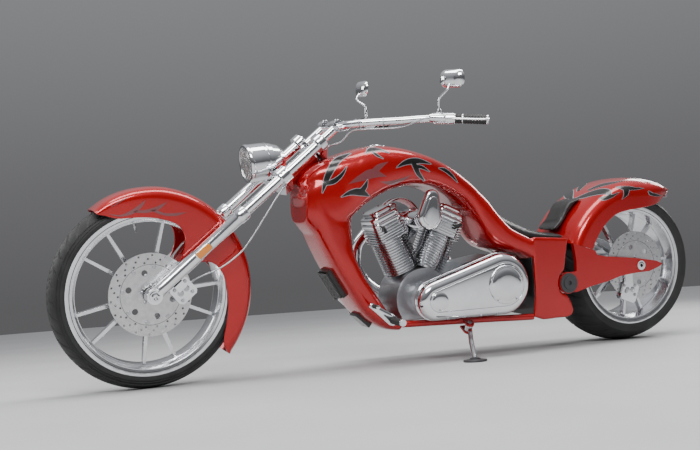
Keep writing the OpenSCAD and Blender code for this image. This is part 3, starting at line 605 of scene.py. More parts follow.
# ---- wheel guards ----
front_edge = [(58, 338), (61, 325), (66, 300), (71, 286), (85, 273), (99, 267), (111, 262), (117, 251),
              (122, 232), (127, 204), (131, 172), (134, 150), (143, 150), (146, 176), (149, 206),
              (152, 228), (156, 245), (166, 265), (181, 276), (196, 288), (209, 303), (216, 320), (220, 350)]
front_top = [(58, 352), (68, 362), (78, 368), (89, 372), (100, 376), (120, 378), (220, 377)]
rear_edge = [(18, 252), (34, 250), (61, 249), (77, 241), (88, 240), (96, 245), (104, 256), (110, 270),
             (115, 292), (118, 320), (121, 352), (124, 370), (131, 382)]
rear_top = [(18, 353), (50, 353), (60, 355), (72, 361), (84, 367), (96, 374), (108, 380), (120, 386),
            (131, 393)]
rear_half = [(18, 166), (80, 166), (100, 163), (112, 152), (119, 134), (124, 106), (128, 72), (131, 40)]


def guard_at(which, a, s, lift=0.0):
    """Point of a wheel guard at angle a and place s (-1 right edge, 0 crown, 1 left edge)."""
    if which == "front":
        e, w, c, h, k = on_table(front_edge, a), 334.0, on_table(front_top, a), 71.5, 0.75
    else:
        c = on_table(rear_top, a)
        e, w, h, k = on_table(rear_edge, a), min(300 + max(0, a - 100) * 2.4, c - 4), on_table(rear_half,
                a), 0.72
    m = max(w, e + 3) + lift * 0.4
    c, h = c + lift, h + lift
    q = abs(s)
    b = min(1, q / 0.6) * 90
    t = max(0, (q - 0.6) / 0.4)
    r = m + (c - m) * power(cosd(b), k) if q <= 0.6 else m + (e - m) * t
    y = math.copysign(1, s) * h * (power(sind(b), k) if q <= 0.6 else 1)
    p = V((r * cosd(a), y, r * sind(a)))
    return front_wheel(p) if which == "front" else rear_wheel(p)


def add_guard(which, name, a0, a1, body, node):
    """A wheel guard from angle a0 to a1, 3.6 mm thick, with a rolled edge on each side."""
    pile = Pile()
    n, rows = 18, []
    cols = [i / n for i in range(-n, n + 1)]
    m = int((a1 - a0) / 1.25)
    for i in range(m + 1):
        a = a0 + (a1 - a0) * i / m
        rows.append([guard_at(which, a, s) for s in cols] + [guard_at(which, a, s,
                                                                      -3.6) for s in reversed(cols)])
    loft(pile, rows)
    pile.piece(name, RED, body, replaces=(node,), slot="red_paint", sharp=50)
    bead = Pile()
    for s in (1, -1):
        edge = [guard_at(which, a0 + 1 + (a1 - a0 - 2) * i / m, s, -1.6) for i in range(m + 1)]
        tube(bead, edge, 0.0024, 8)
    bead.piece(name + "_rolled_edge", RED, body, slot="red_paint")


add_guard("front", "front_guard", 58, 220, "fork", "front_fender")
add_guard("rear", "rear_guard", 18, 131, "frame", "rear_fender")

# ---- black graphics with a grey outline, and strokes of painted sheen ----
SHAPES = tree_of(rough_skin)


def on_skin(x, z, side, lift):
    """Point of the painted skin seen square from one side, lifted off it (mm)."""
    a, b = bike((x, side * 420, z)), bike((x, 0, z))
    hit, normal, _, _ = SHAPES.ray_cast(a, (b - a).normalized())
    if hit is None:
        return None
    n = V(normal)
    if n.dot(a - b) < 0:
        n = -n
    return hit + n * lift / 1000


def tapered_stroke(pile, pts, put, lift, widen, steps=8, across=4):
    """A tapered stroke; pts are (u, v, half width) rows and put(u, v, lift) finds the surface."""
    p = smooth(pts, steps)
    rows = []
    for i in range(len(p)):
        a, b = p[max(0, i - 1)], p[min(len(p) - 1, i + 1)]
        d = V((b[0] - a[0], b[1] - a[1])).normalized()
        w = max(p[i][2], 0.01) + widen
        row = [put(p[i][0] - d.y * w * t, p[i][1] + d.x * w * t, lift)
               for t in (2 * j / across - 1 for j in range(across + 1))]
        if all(row):
            rows.append(row)
    if len(rows) > 2:
        loft(pile, rows, caps=False, wrap_cols=False)


tank_marks = [
    [(1400, 668, 0), (1386, 704, 7), (1362, 752, 11), (1326, 790, 8), (1268, 816, 0)],
    [(1386, 704, 6), (1352, 712, 8), (1322, 736, 5), (1302, 766, 0)],
    [(1110, 756, 0), (1078, 772, 7), (1046, 780, 10), (1006, 780, 8), (958, 768, 0)],
    [(1040, 780, 8), (1028, 756, 10), (1014, 730, 7), (982, 704, 0)],
    [(1026, 760, 6), (1000, 756, 5), (966, 738, 0)],
    [(1330, 652, 0), (1292, 668, 8), (1254, 668, 12), (1216, 652, 0)],
    [(1256, 668, 9), (1238, 688, 8), (1226, 716, 0)],
    [(1224, 812, 0), (1196, 826, 6), (1166, 826, 5), (1130, 812, 0)],
    [(1196, 824, 5), (1184, 806, 4), (1160, 790, 0)],
    [(928, 752, 0), (898, 744, 6), (868, 722, 5), (842, 694, 0)],
]
# painted sheen: pale strokes across the tank where the grey studio reflects on the red
sheen_marks = [
    [(1300, 700, 0), (1250, 722, 13), (1205, 736, 17), (1150, 724, 0)],
    [(1206, 736, 12), (1180, 760, 11), (1140, 780, 0)],
    [(1180, 706, 0), (1130, 700, 8), (1080, 712, 6), (1044, 730, 0)],
]
tank_black, tank_grey, tank_painted_sheen = Pile(), Pile(), Pile()
for side in (1, -1):
    def put_skin(u, v, lift, side=side):
        return on_skin(u, v, side, lift)
    for pts in sheen_marks:
        tapered_stroke(tank_painted_sheen, pts, put_skin, 0.25, 0)
    for pts in tank_marks:
        tapered_stroke(tank_grey, pts, put_skin, 0.45, 2.4)
        tapered_stroke(tank_black, pts, put_skin, 0.7, 0)
tank_painted_sheen.piece("tank_painted_sheen", PAINTED_SHEEN, "frame", slot="black_paint")
tank_grey.piece("tank_pinstripes", GREY_LINE, "frame", slot="black_paint")
tank_black.piece("tank_flames", BLACK, "frame", slot="black_paint")

# strokes on the guards: angle, place across (hundredths), half width; the front guard's strokes are painted
# sheen, the rear guard's are black flames
front_sheen_strokes = [
    [(64, 84, 0), (69, 92, 2.2), (76, 90, 3.2), (83, 78, 2.0), (88, 62, 0)],
    [(80, 86, 2.4), (87, 88, 3.2), (95, 80, 2.2), (101, 64, 0)],
    [(92, 84, 2.0), (99, 90, 2.6), (107, 86, 2.0), (115, 72, 0)],
    [(66, 60, 0), (72, 56, 1.6), (79, 46, 0)],
]
rear_marks = [
    [(54, 0, 0), (58, 8, 3.0), (63, 20, 4.0), (66, 36, 2.4), (64, 50, 0)],
    [(58, 34, 0), (61, 44, 3.0), (66, 50, 2.6), (73, 50, 0)],
    [(64, 4, 1.0), (71, 10, 3.2), (78, 20, 2.4), (86, 24, 0)],
    [(74, 34, 0), (80, 46, 3.4), (87, 52, 2.4), (96, 52, 0)],
    [(80, 46, 2.6), (78, 58, 2.0), (73, 66, 0)],
    [(92, 10, 0), (99, 24, 2.6), (106, 34, 2.2), (114, 38, 0)],
    [(100, 56, 0), (106, 66, 2.4), (112, 74, 1.6), (117, 78, 0)],
]
for which, marks, body in (("front", front_sheen_strokes, "fork"), ("rear", rear_marks, "frame")):
    black, grey = Pile(), Pile()
    for side in (1, -1):
        def put_guard(u, v, lift, side=side):
            return guard_at(which, u, side * max(-1.0, min(0.985, v / 100)), lift)
        for pts in marks:
            if which == "rear":
                tapered_stroke(grey, pts, put_guard, 0.35, 0.7)
            tapered_stroke(black, pts, put_guard, 0.6, 0)
    if which == "rear":
        grey.piece(which + "_guard_pinstripes", GREY_LINE, body, slot="black_paint")
    # the front guard's strokes are painted sheen in the pale tone, the rear guard's are black flames
    black.piece(which + "_guard_flames_and_sheen", BLACK if which == "rear" else PAINTED_SHEEN, body, slot="black_paint")


# ---- seat cushions, blown up as cloth ----
seat_rows = [[676, 606, 588, 24, 0.8], [655, 594, 560, 66, 0.75], [630, 574, 520, 94, 0.7],
             [600, 550, 480, 110, 0.65], [541, 520, 450, 124, 0.6], [490, 502, 444, 128, 0.6],
             [441, 490, 444, 130, 0.6], [395, 484, 444, 128, 0.6], [350, 480, 452, 122, 0.6]]


CUSHION_FILL, CLOTH_FRAMES = 0.75, 12


def cushion(name, pile, look, node, voxel, pressure, fill):
    """A padded piece blown up as cloth, its lower quarter held and no point moved past fill metres."""
    o = pile.piece(name, look, "frame", replaces=(node,), slot="seat_leather", sharp=180)
    remake(o, voxel, 3)
    still = [v.co.copy() for v in o.data.vertices]
    low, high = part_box(node)
    cloth = o.modifiers.new("cloth", "CLOTH")
    cs = cloth.settings
    cs.quality, cs.mass, cs.air_damping = 6, 0.3, 4.0
    cs.tension_stiffness = cs.compression_stiffness = 22.0
    cs.shear_stiffness, cs.bending_stiffness = 12.0, 3.0
    cs.use_pressure, cs.uniform_pressure_force = True, pressure
    cs.effector_weights.gravity = 0.0
    group = o.vertex_groups.new(name="held")
    zs = [v.co.z for v in o.data.vertices]
    cut = min(zs) + 0.25 * (max(zs) - min(zs))
    group.add([v.index for v in o.data.vertices if v.co.z < cut], 1.0, "REPLACE")
    cs.vertex_group_mass = "held"
    for f in range(1, CLOTH_FRAMES + 1):
        bpy.context.scene.frame_set(f)
    got = bpy.data.meshes.new_from_object(o.evaluated_get(bpy.context.evaluated_depsgraph_get()))
    o.modifiers.clear()
    for v, was in zip(got.vertices, still):
        d = v.co - was
        if d.length > fill:
            d *= fill / d.length
        v.co = was + d
    got.materials.clear()
    got.materials.append(look)
    o.data = got
    bpy.context.scene.frame_set(1)
    sub = o.modifiers.new("soft", "SUBSURF")
    sub.levels = sub.render_levels = 1
    o.data.shade_smooth()
    return o


seat = Pile()
rows = []
for x, top, low, half, e in smooth(seat_rows, 5):
    loop = []
    for X, y, z in station(x, top - 5, low + 1, half - 5, e, 64):
        gap = 462 if 398 < x < 532 else 0
        loop.append(bike((X, y, max(z, min(gap, top - 8)))))
    rows.append(loop)
loft(seat, rows)
seat_piece = cushion("seat_cushion", seat, LEATHER, "seat_pad", 0.0055, 4.0, 0.006)
rest = Pile()
edge = [(333, 490), (355, 490), (346, 503), (330, 517), (311, 540), (297, 561), (283, 583), (269, 599),
        (254, 606), (227, 613), (212, 619)]
arc = [(356.5 * cosd(a), REAR_Z + 356.5 * sind(a)) for a in range(55, 31, -3)]
prof = [tuple(q) for q in smooth(edge, 3)] + arc
mid = V((292, 560))
rows = []
for d, y in ((9, -60), (5, -58), (2, -53), (0, -46), (0, -16), (0, 16), (0, 46), (2, 53), (5, 58), (9, 60)):
    rows.append([bike((x + (mid.x - x) / (mid - V((x, z))).length * d, y,
                       z + (mid.y - z) / (mid - V((x, z))).length * d)) for x, z in prof])
loft(rest, rows)
back_piece = cushion("seat_bump", rest, LEATHER, "seat_back", 0.0055, 4.0, 0.004)

# piping and stitched seams over the seat cushion
def lie_on(o, p, way, off):
    """The point where a ray from p meets a cushion, lifted off by off metres."""
    hit, n, _, _ = CUSHION_TREES[o.name].ray_cast(p, way)
    if hit is None:
        return None
    n = V(n)
    if n.dot(way) > 0:
        n = -n
    return hit + n * off


dg = bpy.context.evaluated_depsgraph_get()
CUSHION_TREES = {}
for o in (seat_piece, back_piece):
    e = o.evaluated_get(dg).to_mesh()
    CUSHION_TREES[o.name] = BVHTree.FromPolygons([v.co.copy() for v in e.vertices],
                                                 [tuple(p.vertices) for p in e.polygons])
piping, threads = Pile(), Pile()
down = -heading(bike, (0, 0, 1))
for half in (74, -74, 0):
    line = [(x, half * min(1.0, max(0.2, (672 - x) / 90))) for x in range(652, 362, -6)]
    pts = [lie_on(seat_piece, bike((x, y, 760)), down, 0.0004) for x, y in line]
    pts = [p for p in pts if p]
    if len(pts) > 4:
        tube(piping if half else threads, pts, 0.0019 if half else 0.0009, 8)
for x in (600, 540, 480, 420):
    pts = [lie_on(seat_piece, bike((x, y, 760)), down, 0.0003) for y in range(-72, 73, 6)]
    pts = [p for p in pts if p]
    if len(pts) > 4:
        tube(piping, pts, 0.0016, 8)
piping.piece("seat_piping", LEATHER, "frame", slot="seat_leather")
stitch = Pile()
for half in (68, -68):
    for k in range(70):
        x = 640 - 4 * k
        y0 = half * min(1.0, max(0.2, (672 - x) / 90))
        a = lie_on(seat_piece, bike((x, y0, 760)), down, 0.0007)
        b = lie_on(seat_piece, bike((x - 2.4, y0, 760)), down, 0.0007)
        if a and b:
            tube(stitch, [a, (a + b) / 2, b], 0.0005, 6)
stitch.piece("seat_stitching", THREAD, "frame", slot="seat_leather")

# ---- engine ----
def side_prism(pile, outline, y0, y1, r, k=5):
    """A prism across the bike from y0 to y1 (mm); outline(d) is the loop shrunk by d mm."""
    loft(pile, [[bike((x, y, z)) for x, z in outline(d)] for d, y in rounded(r, y0, y1, k)])


def bank_point(s, p):
    """Cylinder millimetres (across the bank, left, up the bore) to row metres."""
    a = s * ENGINE_V / 2
    return bike((CRANK[0] + p[0] * cosd(a) + p[2] * sind(a), p[1],
                 CRANK[1] - p[0] * sind(a) + p[2] * cosd(a)))


def bank_block(pile, s, w, d, r, z0, z1, edge=4.0, k=4):
    """A rounded block on one cylinder bank, w by d, from z0 to z1 up the bore."""
    loop = box_loop(0, 0, w, d, r)
    rows = rounded(edge, z0, z1, k)
    loft(pile, [[bank_point(s, (x, y, z)) for x, y in loop(q)] for q, z in rows])


def bank_lathe(pile, s, x, y, prof, n=32, clip=None):
    """A turned shape on one bank; clip keeps it that far (mm) from the plane between the banks."""
    rows = []
    for r, z in prof:
        row = []
        for j in range(n):
            p = [x + r * cosd(360 * j / n), y + r * sind(360 * j / n), z]
            if clip is not None:
                a = s * ENGINE_V / 2
                ahead = p[0] * cosd(a) + p[2] * sind(a)
                if ahead * s < clip:
                    p[0] = (s * clip - p[2] * sind(a)) / cosd(a)
            row.append(bank_point(s, p))
        rows.append(row)
    loft(pile, rows)


def bank_bolt(pile, s, x, y, z, r, h):
    at = bank_point(s, (x, y, z))
    dome_bolt(pile, at, bank_point(s, (x, y, z + 1)) - at, r / 1000, h / 1000)


barrels, heads, rockers, head_bolts, plugs = Pile(), Pile(), Pile(), Pile(), Pile()
for s in (1, -1):
    prof = [(58, 119)]
    for k in range(13):
        z = 126 + k * 10.6
        prof += [(59, z - 1.6), (73, z - 1.1), (75.5, z - 0.4), (75.5, z + 0.6), (73, z + 1.3), (59, z + 1.8)]
    prof.append((58, 262.8))
    bank_lathe(barrels, s, 0, 0, prof, 72, clip=1.2)
    for k in range(6):
        bank_block(heads, s, 146 - (k > 3) * 6, 154, 34, 264 + k * 10.5, 267.6 + k * 10.5, 1.6, k=2)
    bank_block(heads, s, 122, 132, 26, 264, 330, 3)
    bank_block(rockers, s, 128, 146, 22, 326, 342, 5)
    bank_block(rockers, s, 122, 140, 24, 341.5, 366, 9)
    bank_block(rockers, s, 92, 118, 22, 365, 385, 10)
    for x in (-52, 52):
        for y in (-60, 0, 60):
            bank_bolt(head_bolts, s, x, y, 342, 5, 5)
    for x in (-34, 34):
        for y in (-44, 44):
            bank_bolt(head_bolts, s, x, y, 383.6, 4.2, 3.4)
    # spark plug cap
    a, b = bank_point(s, (s * 24, 62, 300)), bank_point(s, (s * 40, 92, 326))
    tube(plugs, [a, a.lerp(b, 0.5), b], [0.0065, 0.0075, 0.007], 14)
barrels.piece("finned_barrels", FINS, "frame", replaces=("cylinders",), slot="engine_alloy", sharp=32)
heads.piece("finned_heads", FINS, "frame", replaces=("cylinder_heads",), slot="engine_alloy")
rockers.piece("rocker_boxes", CHROME, "frame", slot="chrome", sharp=40)
head_bolts.piece("engine_head_bolts", BOLT, "frame", slot="chrome")
plugs.piece("spark_plug_leads", RUBBER, "frame", slot="black_rubber")

# teardrop cover between the banks, its manifold and clamps
tear, clamps = Pile(), Pile()
side_prism(tear, link_loop((958, 566), 50, (946, 642), 30), 90, 128, 15, 7)
side_prism(tear, link_loop((958, 566), 34, (949, 626), 19), 127, 133, 4, 4)
tube(tear, [bike((CRANK[0], y, 556)) for y in (-57, -20, 20, 60, 91)], [0.034] * 5, 40)
for s in (1, -1):
    tube(tear, [bank_point(s, (-s * q, 0, 293)) for q in (74, 90, 110, 130)], [0.026, 0.023, 0.023, 0.026],
         32)
    for q in (77, 84):
        ring(clamps, bank_point(s, (-s * q, 0, 293)), bank_point(s, (1, 0, 293)) - bank_point(s, (0, 0, 293)),
             [(0.0235, -0.003), (0.028, -0.003), (0.028, 0.003), (0.0235, 0.003)], 40)
tear.piece("teardrop_cover", CHROME, "frame", replaces=("intake_cover",), slot="chrome")
for x, z in ((936, 540), (978, 540), (952, 655), (925, 600), (984, 596)):
    at = bike((x, 120, z))
    dome_bolt(clamps, at, bike((x, 130, z)) - at, 0.0042, 0.005)
clamps.piece("teardrop_bolts_and_clamps", BOLT, "frame", slot="chrome")

# primary cover: a long pillow with a raised centre, clutch dome and domed bolts
rear_c, front_c = (690, 295), CRANK
prim, prim_bolts = Pile(), Pile()
side_prism(prim, link_loop(rear_c, 96, front_c, 60, 40), 85.5, 150, 2)
side_prism(prim, link_loop(rear_c, 119, front_c, 76, 48), 148, 213, 30, 10)
side_prism(prim, link_loop(rear_c, 122, front_c, 79, 48), 152, 164, 4, 4)
side_prism(prim, link_loop(rear_c, 84, front_c, 42, 40), 211, 218, 5, 5)
lathe(prim, bike((rear_c[0], 0, rear_c[1])), OUT,
      [(0.076, 0.212), (0.076, 0.2200), (0.0735, 0.2232), (0.069, 0.2245), (0.066, 0.2238), (0.064, 0.2246),
       (0.060, 0.2272), (0.050, 0.2296), (0.036, 0.2312), (0.018, 0.2318), (0.0, 0.232)], 96)
lathe(prim, bike((front_c[0], 0, front_c[1])), OUT,
      [(0.034, 0.212), (0.034, 0.2188), (0.031, 0.2208), (0.024, 0.2222), (0.012, 0.223), (0.0, 0.2232)], 64)
for k in range(5):
    a = 18 + 72 * k
    at = bike((rear_c[0] + 70 * cosd(a), 224.0, rear_c[1] + 70 * sind(a)))
    dome_bolt(prim_bolts, at, OUT, 0.0036, 0.0028)
for t in (0.12, 0.37, 0.62, 0.87):
    for w in (1, -1):
        x = rear_c[0] + (front_c[0] - rear_c[0]) * t
        z = rear_c[1] + (front_c[1] - rear_c[1]) * t + w * (119 - 43 * t - 8.5)
        at = bike((x, 211.2 - 7.5, z))
        dome_bolt(prim_bolts, at, OUT, 0.0046, 0.0044)
prim.piece("primary_pillow", CHROME, "frame", replaces=("primary_cover",), slot="chrome", sharp=50)
prim_bolts.piece("primary_bolts", BOLT, "frame", slot="chrome")

# crankcase trim: cam cover and pushrod tubes on the right
cam = Pile()
lathe(cam, bike((CRANK[0], 0, CRANK[1] + 20)), -OUT,
      [(0.078, 0.088), (0.078, 0.104), (0.074, 0.110), (0.060, 0.1135), (0.058, 0.112), (0.040, 0.1125),
       (0.038, 0.1145), (0.0, 0.1150)], 64)
for k in range(8):
    a = 45 * k + 12
    at = bike((CRANK[0] + 70 * cosd(a), -110.5, CRANK[1] + 20 + 70 * sind(a)))
    dome_bolt(cam, at, -OUT, 0.0044, 0.005)
for k, x in enumerate((-46, -18, 18, 46)):
    s = 1 if x > 0 else -1
    a = bike((CRANK[0] + x * 0.8, -92, CRANK[1] + 86))
    b = bank_point(s, (s * (18 if abs(x) > 30 else -12), -78, 262))
    tube(cam, [a, a.lerp(b, 0.06), a.lerp(b, 0.08), a.lerp(b, 0.9), a.lerp(b, 0.92), b],
         [0.0115, 0.0115, 0.0082, 0.0082, 0.0115, 0.0115], 20)
cam.piece("cam_cover_and_pushrods", CHROME, "frame", slot="chrome")

# ---- wheels ----
def tyre_profile(r, w, crown, wall_r, wall_at, lip, lip_half):
    """Half section from the middle of the tread to the bead, (radius, side) in mm."""
    p = []
    y1 = w / 2 - 0.3
    for i in range(27):
        y = y1 * sind(90 * i / 26)
        p.append((r - crown + math.sqrt(crown**2 - y * y), y))
    a1 = math.degrees(math.acos((lip + 0.6 - wall_at) / wall_r))
    for i in range(1, 10):
        a = 91 + (a1 - 91) * i / 9
        p.append((wall_at + wall_r * cosd(a), w / 2 - wall_r + wall_r * sind(a)))
    p.append((lip + 0.5, lip_half - 2))
    p.append((lip + 0.5, lip_half - 7))
    p.append((lip - 6, lip_half - 8))
    return p


def add_tyre(name, node, put, prof, w, body, grooves):
    """A tyre turned from its half section, with slanted grooves and a middle line cut in the tread."""
    full = [(a, -b) for a, b in reversed(prof)] + prof[1:]
    n, m = 600, len(full)
    verts = []
    for i in range(n):
        a = 360 * i / n
        for k, (q, y) in enumerate(full):
            s = abs(y) / (w / 2)
            d = 0.0
            if 2 < k < m - 3 and s < 0.93:
                turn = a / 360 * grooves + (0.5 if y > 0 else 0)
                u = (turn + 1.15 * s) % 1.0
                if 0.16 < s < 0.86 and u < 0.13:
                    d = 3.0
                if 0.04 < s < 0.36 and abs(((turn * 2 + 0.35 - 1.4 * s) % 1.0) - 0.5) < 0.07:
                    d = max(d, 2.4)
                if s < 0.028:
                    d = 2.6
            verts.append(put(V(((q - d) * cosd(a), y, (q - d) * sind(a)))))
    faces = [(i * m + j, i * m + j + 1, ((i + 1) % n) * m + j + 1, ((i + 1) % n) * m + j)
             for i in range(n) for j in range(m - 1)]
    faces += [(i * m + m - 1, i * m, ((i + 1) % n) * m, ((i + 1) % n) * m + m - 1) for i in range(n)]
    piece(name, verts, faces, TYRE, body, replaces=(node,), slot="tyre_rubber", sharp=34)


f_prof = tyre_profile(FRONT_R, FRONT_W, FRONT_W * 0.55, 46, 302, FRONT_RIM, 54)
r_prof = tyre_profile(REAR_R, REAR_W, 190, 62, 284, REAR_RIM, 112)
add_tyre("front_tread", "front_tyre", front_wheel, f_prof, FRONT_W, "front_wheel", 40)
add_tyre("rear_tread", "rear_tyre", rear_wheel, r_prof, REAR_W, "rear_wheel", 36)


f_at, r_at = front_wheel((0, 0, 0)), rear_wheel((0, 0, 0))
for nm, at, axis, ribs in (("front", f_at, SPIN, ((308, 59.6), (318, 56.4))),
                           ("rear", r_at, OUT, ((264, 119.3), (272, 121.6)))):
    mould = Pile()
    for q, y in ribs:
        for s in (1, -1):
            ring(mould, at, axis * s, [((q - 1.3) / 1000, y / 1000 - 0.0004), (q / 1000, y / 1000 + 0.0003),
                                       ((q + 1.3) / 1000, y / 1000 - 0.0004),
                                       (q / 1000, y / 1000 - 0.002)], 160)
    mould.piece(nm + "_sidewall_ribs", TYRE, nm + "_wheel", slot="tyre_rubber")


def ease(node, width, segments, angle):
    """Rounds a CAD node's sharp edges where it shows."""
    o = bpy.data.objects[node]
    w = o.modifiers.new("weld", "WELD")
    w.merge_threshold = 0.00001
    b = o.modifiers.new("round", "BEVEL")
    b.width, b.segments, b.limit_method, b.angle_limit = width / 1000, segments, "ANGLE", rad(angle)
    b.harden_normals = False
    b.use_clamp_overlap = True
    o.data.shade_smooth()
    e = o.modifiers.new("even", "WEIGHTED_NORMAL")
    e.keep_sharp = False


# discs: buttons and bolts round the hub, with a dark seam by the carrier
def disc_trim(name, at, axis, y, carrier, rotor_bolts, body, hub_r):
    """Buttons round the disc's carrier, bolts round its hub and a dark seam between."""
    buttons, dark = Pile(), Pile()
    for k in range(rotor_bolts):
        a = 360 * k / rotor_bolts + 9
        p = at(V((carrier * cosd(a), y, carrier * sind(a))))
        lathe(buttons, p, axis, [(0.0072, -0.001), (0.0072, 0.0011), (0.0064, 0.0018), (0.0040, 0.0018),
                                 (0.0034, 0.0008), (0.0001, 0.0008)], 20)
    for k in range(5):
        a = 72 * k + 20
        p = at(V((hub_r * cosd(a), y, hub_r * sind(a))))
        dome_bolt(buttons, p, axis, 0.0056, 0.005)
    c = at(V((0, y, 0)))
    ring(dark, c, axis, [((carrier + 7.2) / 1000, -0.0002), ((carrier + 7.6) / 1000, 0.0005),
                         ((carrier + 8.6) / 1000, 0.0005), ((carrier + 9.0) / 1000, -0.0002)], 96)
    buttons.piece(name + "_buttons", BOLT, body, slot="disc_steel")
    dark.piece(name + "_seam", DARK, body, slot="disc_steel")


disc_trim("front_disc", front_wheel, SPIN, 61.0, 98, 8, "front_wheel", 33)
disc_trim("rear_disc", rear_wheel, OUT, 132.0, 94, 8, "rear_wheel", 34)
for nm, at, a, r0, y0, r1, y1 in (("front", front_wheel, 81, 247, 0, 218, 6),
                                  ("rear", rear_wheel, 141, 209, 10, 180, 18)):
    stem = Pile()
    p, q = (at(V((r * cosd(a), y, r * sind(a)))) for r, y in ((r0, y0), (r1, y1)))
    tube(stem, [p, p.lerp(q, 0.5), p.lerp(q, 0.55), q], [0.0045, 0.0035, 0.0028, 0.0028], 12)
    stem.piece(nm + "_valve", BOLT, nm + "_wheel", slot="disc_steel")
# lip beads and the turned lines inside the rims
for nm, at, axis, lip, half, body in (("front", f_at, SPIN, FRONT_RIM, 54, "front_wheel"),
                                      ("rear", r_at, OUT, REAR_RIM, 112, "rear_wheel")):
    beads, wells = Pile(), Pile()
    for s in (1, -1):
        for q, y, t in ((lip - 3.2, half - 0.2, 1.5), (lip - 24, half - 4.4, 1.2),
                        (lip - 35.5, half * 0.55, 1.4)):
            ring(beads, at, axis * s, [((q - t) / 1000, y / 1000 - 0.0008),
                                       ((q - t * 0.6) / 1000, y / 1000 + 0.0003),
                                       ((q + t * 0.6) / 1000, y / 1000 + 0.0003),
                                       ((q + t) / 1000, y / 1000 - 0.0008)], 128)
        q, y = lip - 15, half - 2.2
        ring(wells, at, axis * s, [((q - 1.4) / 1000, y / 1000 - 0.0012),
                                   ((q - 1.4) / 1000, y / 1000 + 0.0004),
                                   ((q + 1.4) / 1000, y / 1000 + 0.0004),
                                   ((q + 1.4) / 1000, y / 1000 - 0.0012)], 128)
    beads.piece(nm + "_rim_beads", CHROME, body, slot="polished_rim")
    wells.piece(nm + "_rim_lines", DARK, body, slot="polished_rim")
for node, width, segments, angle in (
        ("front_rim", 1.2, 2, 30), ("rear_rim", 1.2, 2, 30), ("swingarm", 6, 4, 32),
                                     ("front_caliper", 3, 3, 32),
        ("rear_caliper", 3, 3, 32), ("triple_trees", 2.4, 3, 32), ("transmission", 4, 3, 32),
        ("oil_tank", 4, 3, 32), ("pivot_caps", 2.5, 3, 32), ("rear_pulley", 1.2, 2, 32),
                                     ("crankcase", 3, 3, 32),
        ("regulator", 1.0, 2, 32), ("belly_rails", 1.5, 2, 32)):
    ease(node, width, segments, angle)

# calipers: bolts and pipe unions
for nm, body, at, axis, spots, y in (
        ("front", "fork", fork, LEFT,
         ((-86, 66), (-86, 112), (-40, 116), (-40, 68)), 84.0),
        ("rear", "frame", rear_wheel, OUT, ((16, -124), (62, -108), (70, -82), (14, -86)), 146.0)):
    bits = Pile()
    for u, v in spots:
        p = at((u, y, v)) if nm == "front" else rear_wheel(V((u, y, v)))
        hex_bolt(bits, p, axis, 0.0052, 0.0055)
    mid = at((-63, y, 90)) if nm == "front" else rear_wheel(V((41, y, -102)))
    for d in (-13, 13):
        o = mid + (fork((0, 0, 1)) - fork((0, 0, 0))) * d if nm == "front" else mid + V((d / 1000, 0, 0))
        lathe(bits, o, axis, [(0.0115, -0.001), (0.0115, 0.0012), (0.0095, 0.0022), (0.0060, 0.0022),
                              (0.0050, 0.0012), (0.0, 0.0012)], 28)
    bits.piece(nm + "_caliper_bolts", BOLT, body, slot="chrome")
nuts = Pile()
for s in (1, -1):
    p = fork((0, s * 126.2, 0))
    ring(nuts, p, LEFT * s, [(0.0075, -0.001), (0.0075, 0.0048), (0.0105, 0.0056), (0.0172, 0.0026),
                             (0.0180, -0.001)], 6)
nuts.piece("front_axle_nuts", CHROME, "fork", slot="chrome")
nuts = Pile()
for s in (1, -1):
    p = rear_wheel(V((0, s * 172.0, 0)))
    ring(nuts, p, OUT * s, [(0.0075, -0.001), (0.0075, 0.0028), (0.0115, 0.0034), (0.0185, 0.0016),
                            (0.0192, -0.001)], 6)
nuts.piece("rear_axle_nuts", CHROME, "frame", slot="chrome")

# ---- front end ----
legs, bits = Pile(), Pile()
for s in (1, -1):
    at = fork((0, s * FORK_Y, 0))
    lathe(legs, at, UP, [(r / 1000, h / 1000) for r, h in (
        (0, -12), (20, -12), (24, -9), (25, -4), (25, 60), (24.3, 70), (24.3, 396), (25.6, 400), (27.4, 404),
        (28, 410), (28, 432), (27, 437), (24, 439), (21.5, 439.5), (20.5, 439.5), (20.5, 826), (20.5, 828.5),
        (23.5, 829), (23.5, 834), (22.4, 837), (18, 838.2), (0, 838.3))], 56)
    lathe(legs, at, LEFT, [(r / 1000, h / 1000) for r, h in ((20, -24), (27, -24), (28, -22), (28, 22),
                                                             (27, 24),
                                                             (20, 24))], 48)
    for z in (30, 46):
        dome_bolt(bits, fork((24.4, s * FORK_Y, z)), AHEAD, 0.0048, 0.004)
    for k in range(3):
        band(bits, fork((0, s * FORK_Y, 419 + 5 * k)), UP, 0.0278, 0.0287, 0.0006, 48)
    for z in (TREE_LOW + 10, TREE_LOW + 26):
        hex_bolt(bits, fork((20, s * (FORK_Y + 26), z)), AHEAD, 0.0045, 0.005)
    hex_bolt(bits, fork((20, s * (FORK_Y + 26), TREE_HIGH + 13)), AHEAD, 0.0045, 0.005)
    for y in (-12, 12):
        dome_bolt(bits, fork((8, s * 55 + y, BAR_Z + 14.5)), UP + AHEAD * 0.6, 0.0045, 0.004)
legs.piece("polished_legs", CHROME, "fork", replaces=("fork_legs",), slot="chrome", sharp=32)
hex_bolt(bits, fork((-46, 0, TREE_HIGH + 25.5)), UP, 0.015, 0.008)
bits.piece("front_end_bolts", BOLT, "fork", slot="chrome")

# amber reflector on the outside of each leg
lens, frame_r = Pile(), Pile()
for s in (1, -1):
    for pile, w, h, d0, d1, r in ((frame_r, 30, 66, 119.5, 123.2, 8), (lens, 25, 60, 122.6, 126.2, 7)):
        loop = box_loop(2, 229, w, h, r)
        rows = [(1.2, d0), (0, d0 + 0.8), (0, d1 - 1.6), (1.0, d1 - 0.5), (2.4, d1)]
        loft(pile, [[fork((x, s * y, z)) for x, z in loop(q)] for q, y in rows])
frame_r.piece("reflector_frames", CHROME, "fork", slot="chrome")
lens.piece("amber_reflectors", AMBER, "fork", slot="chrome")

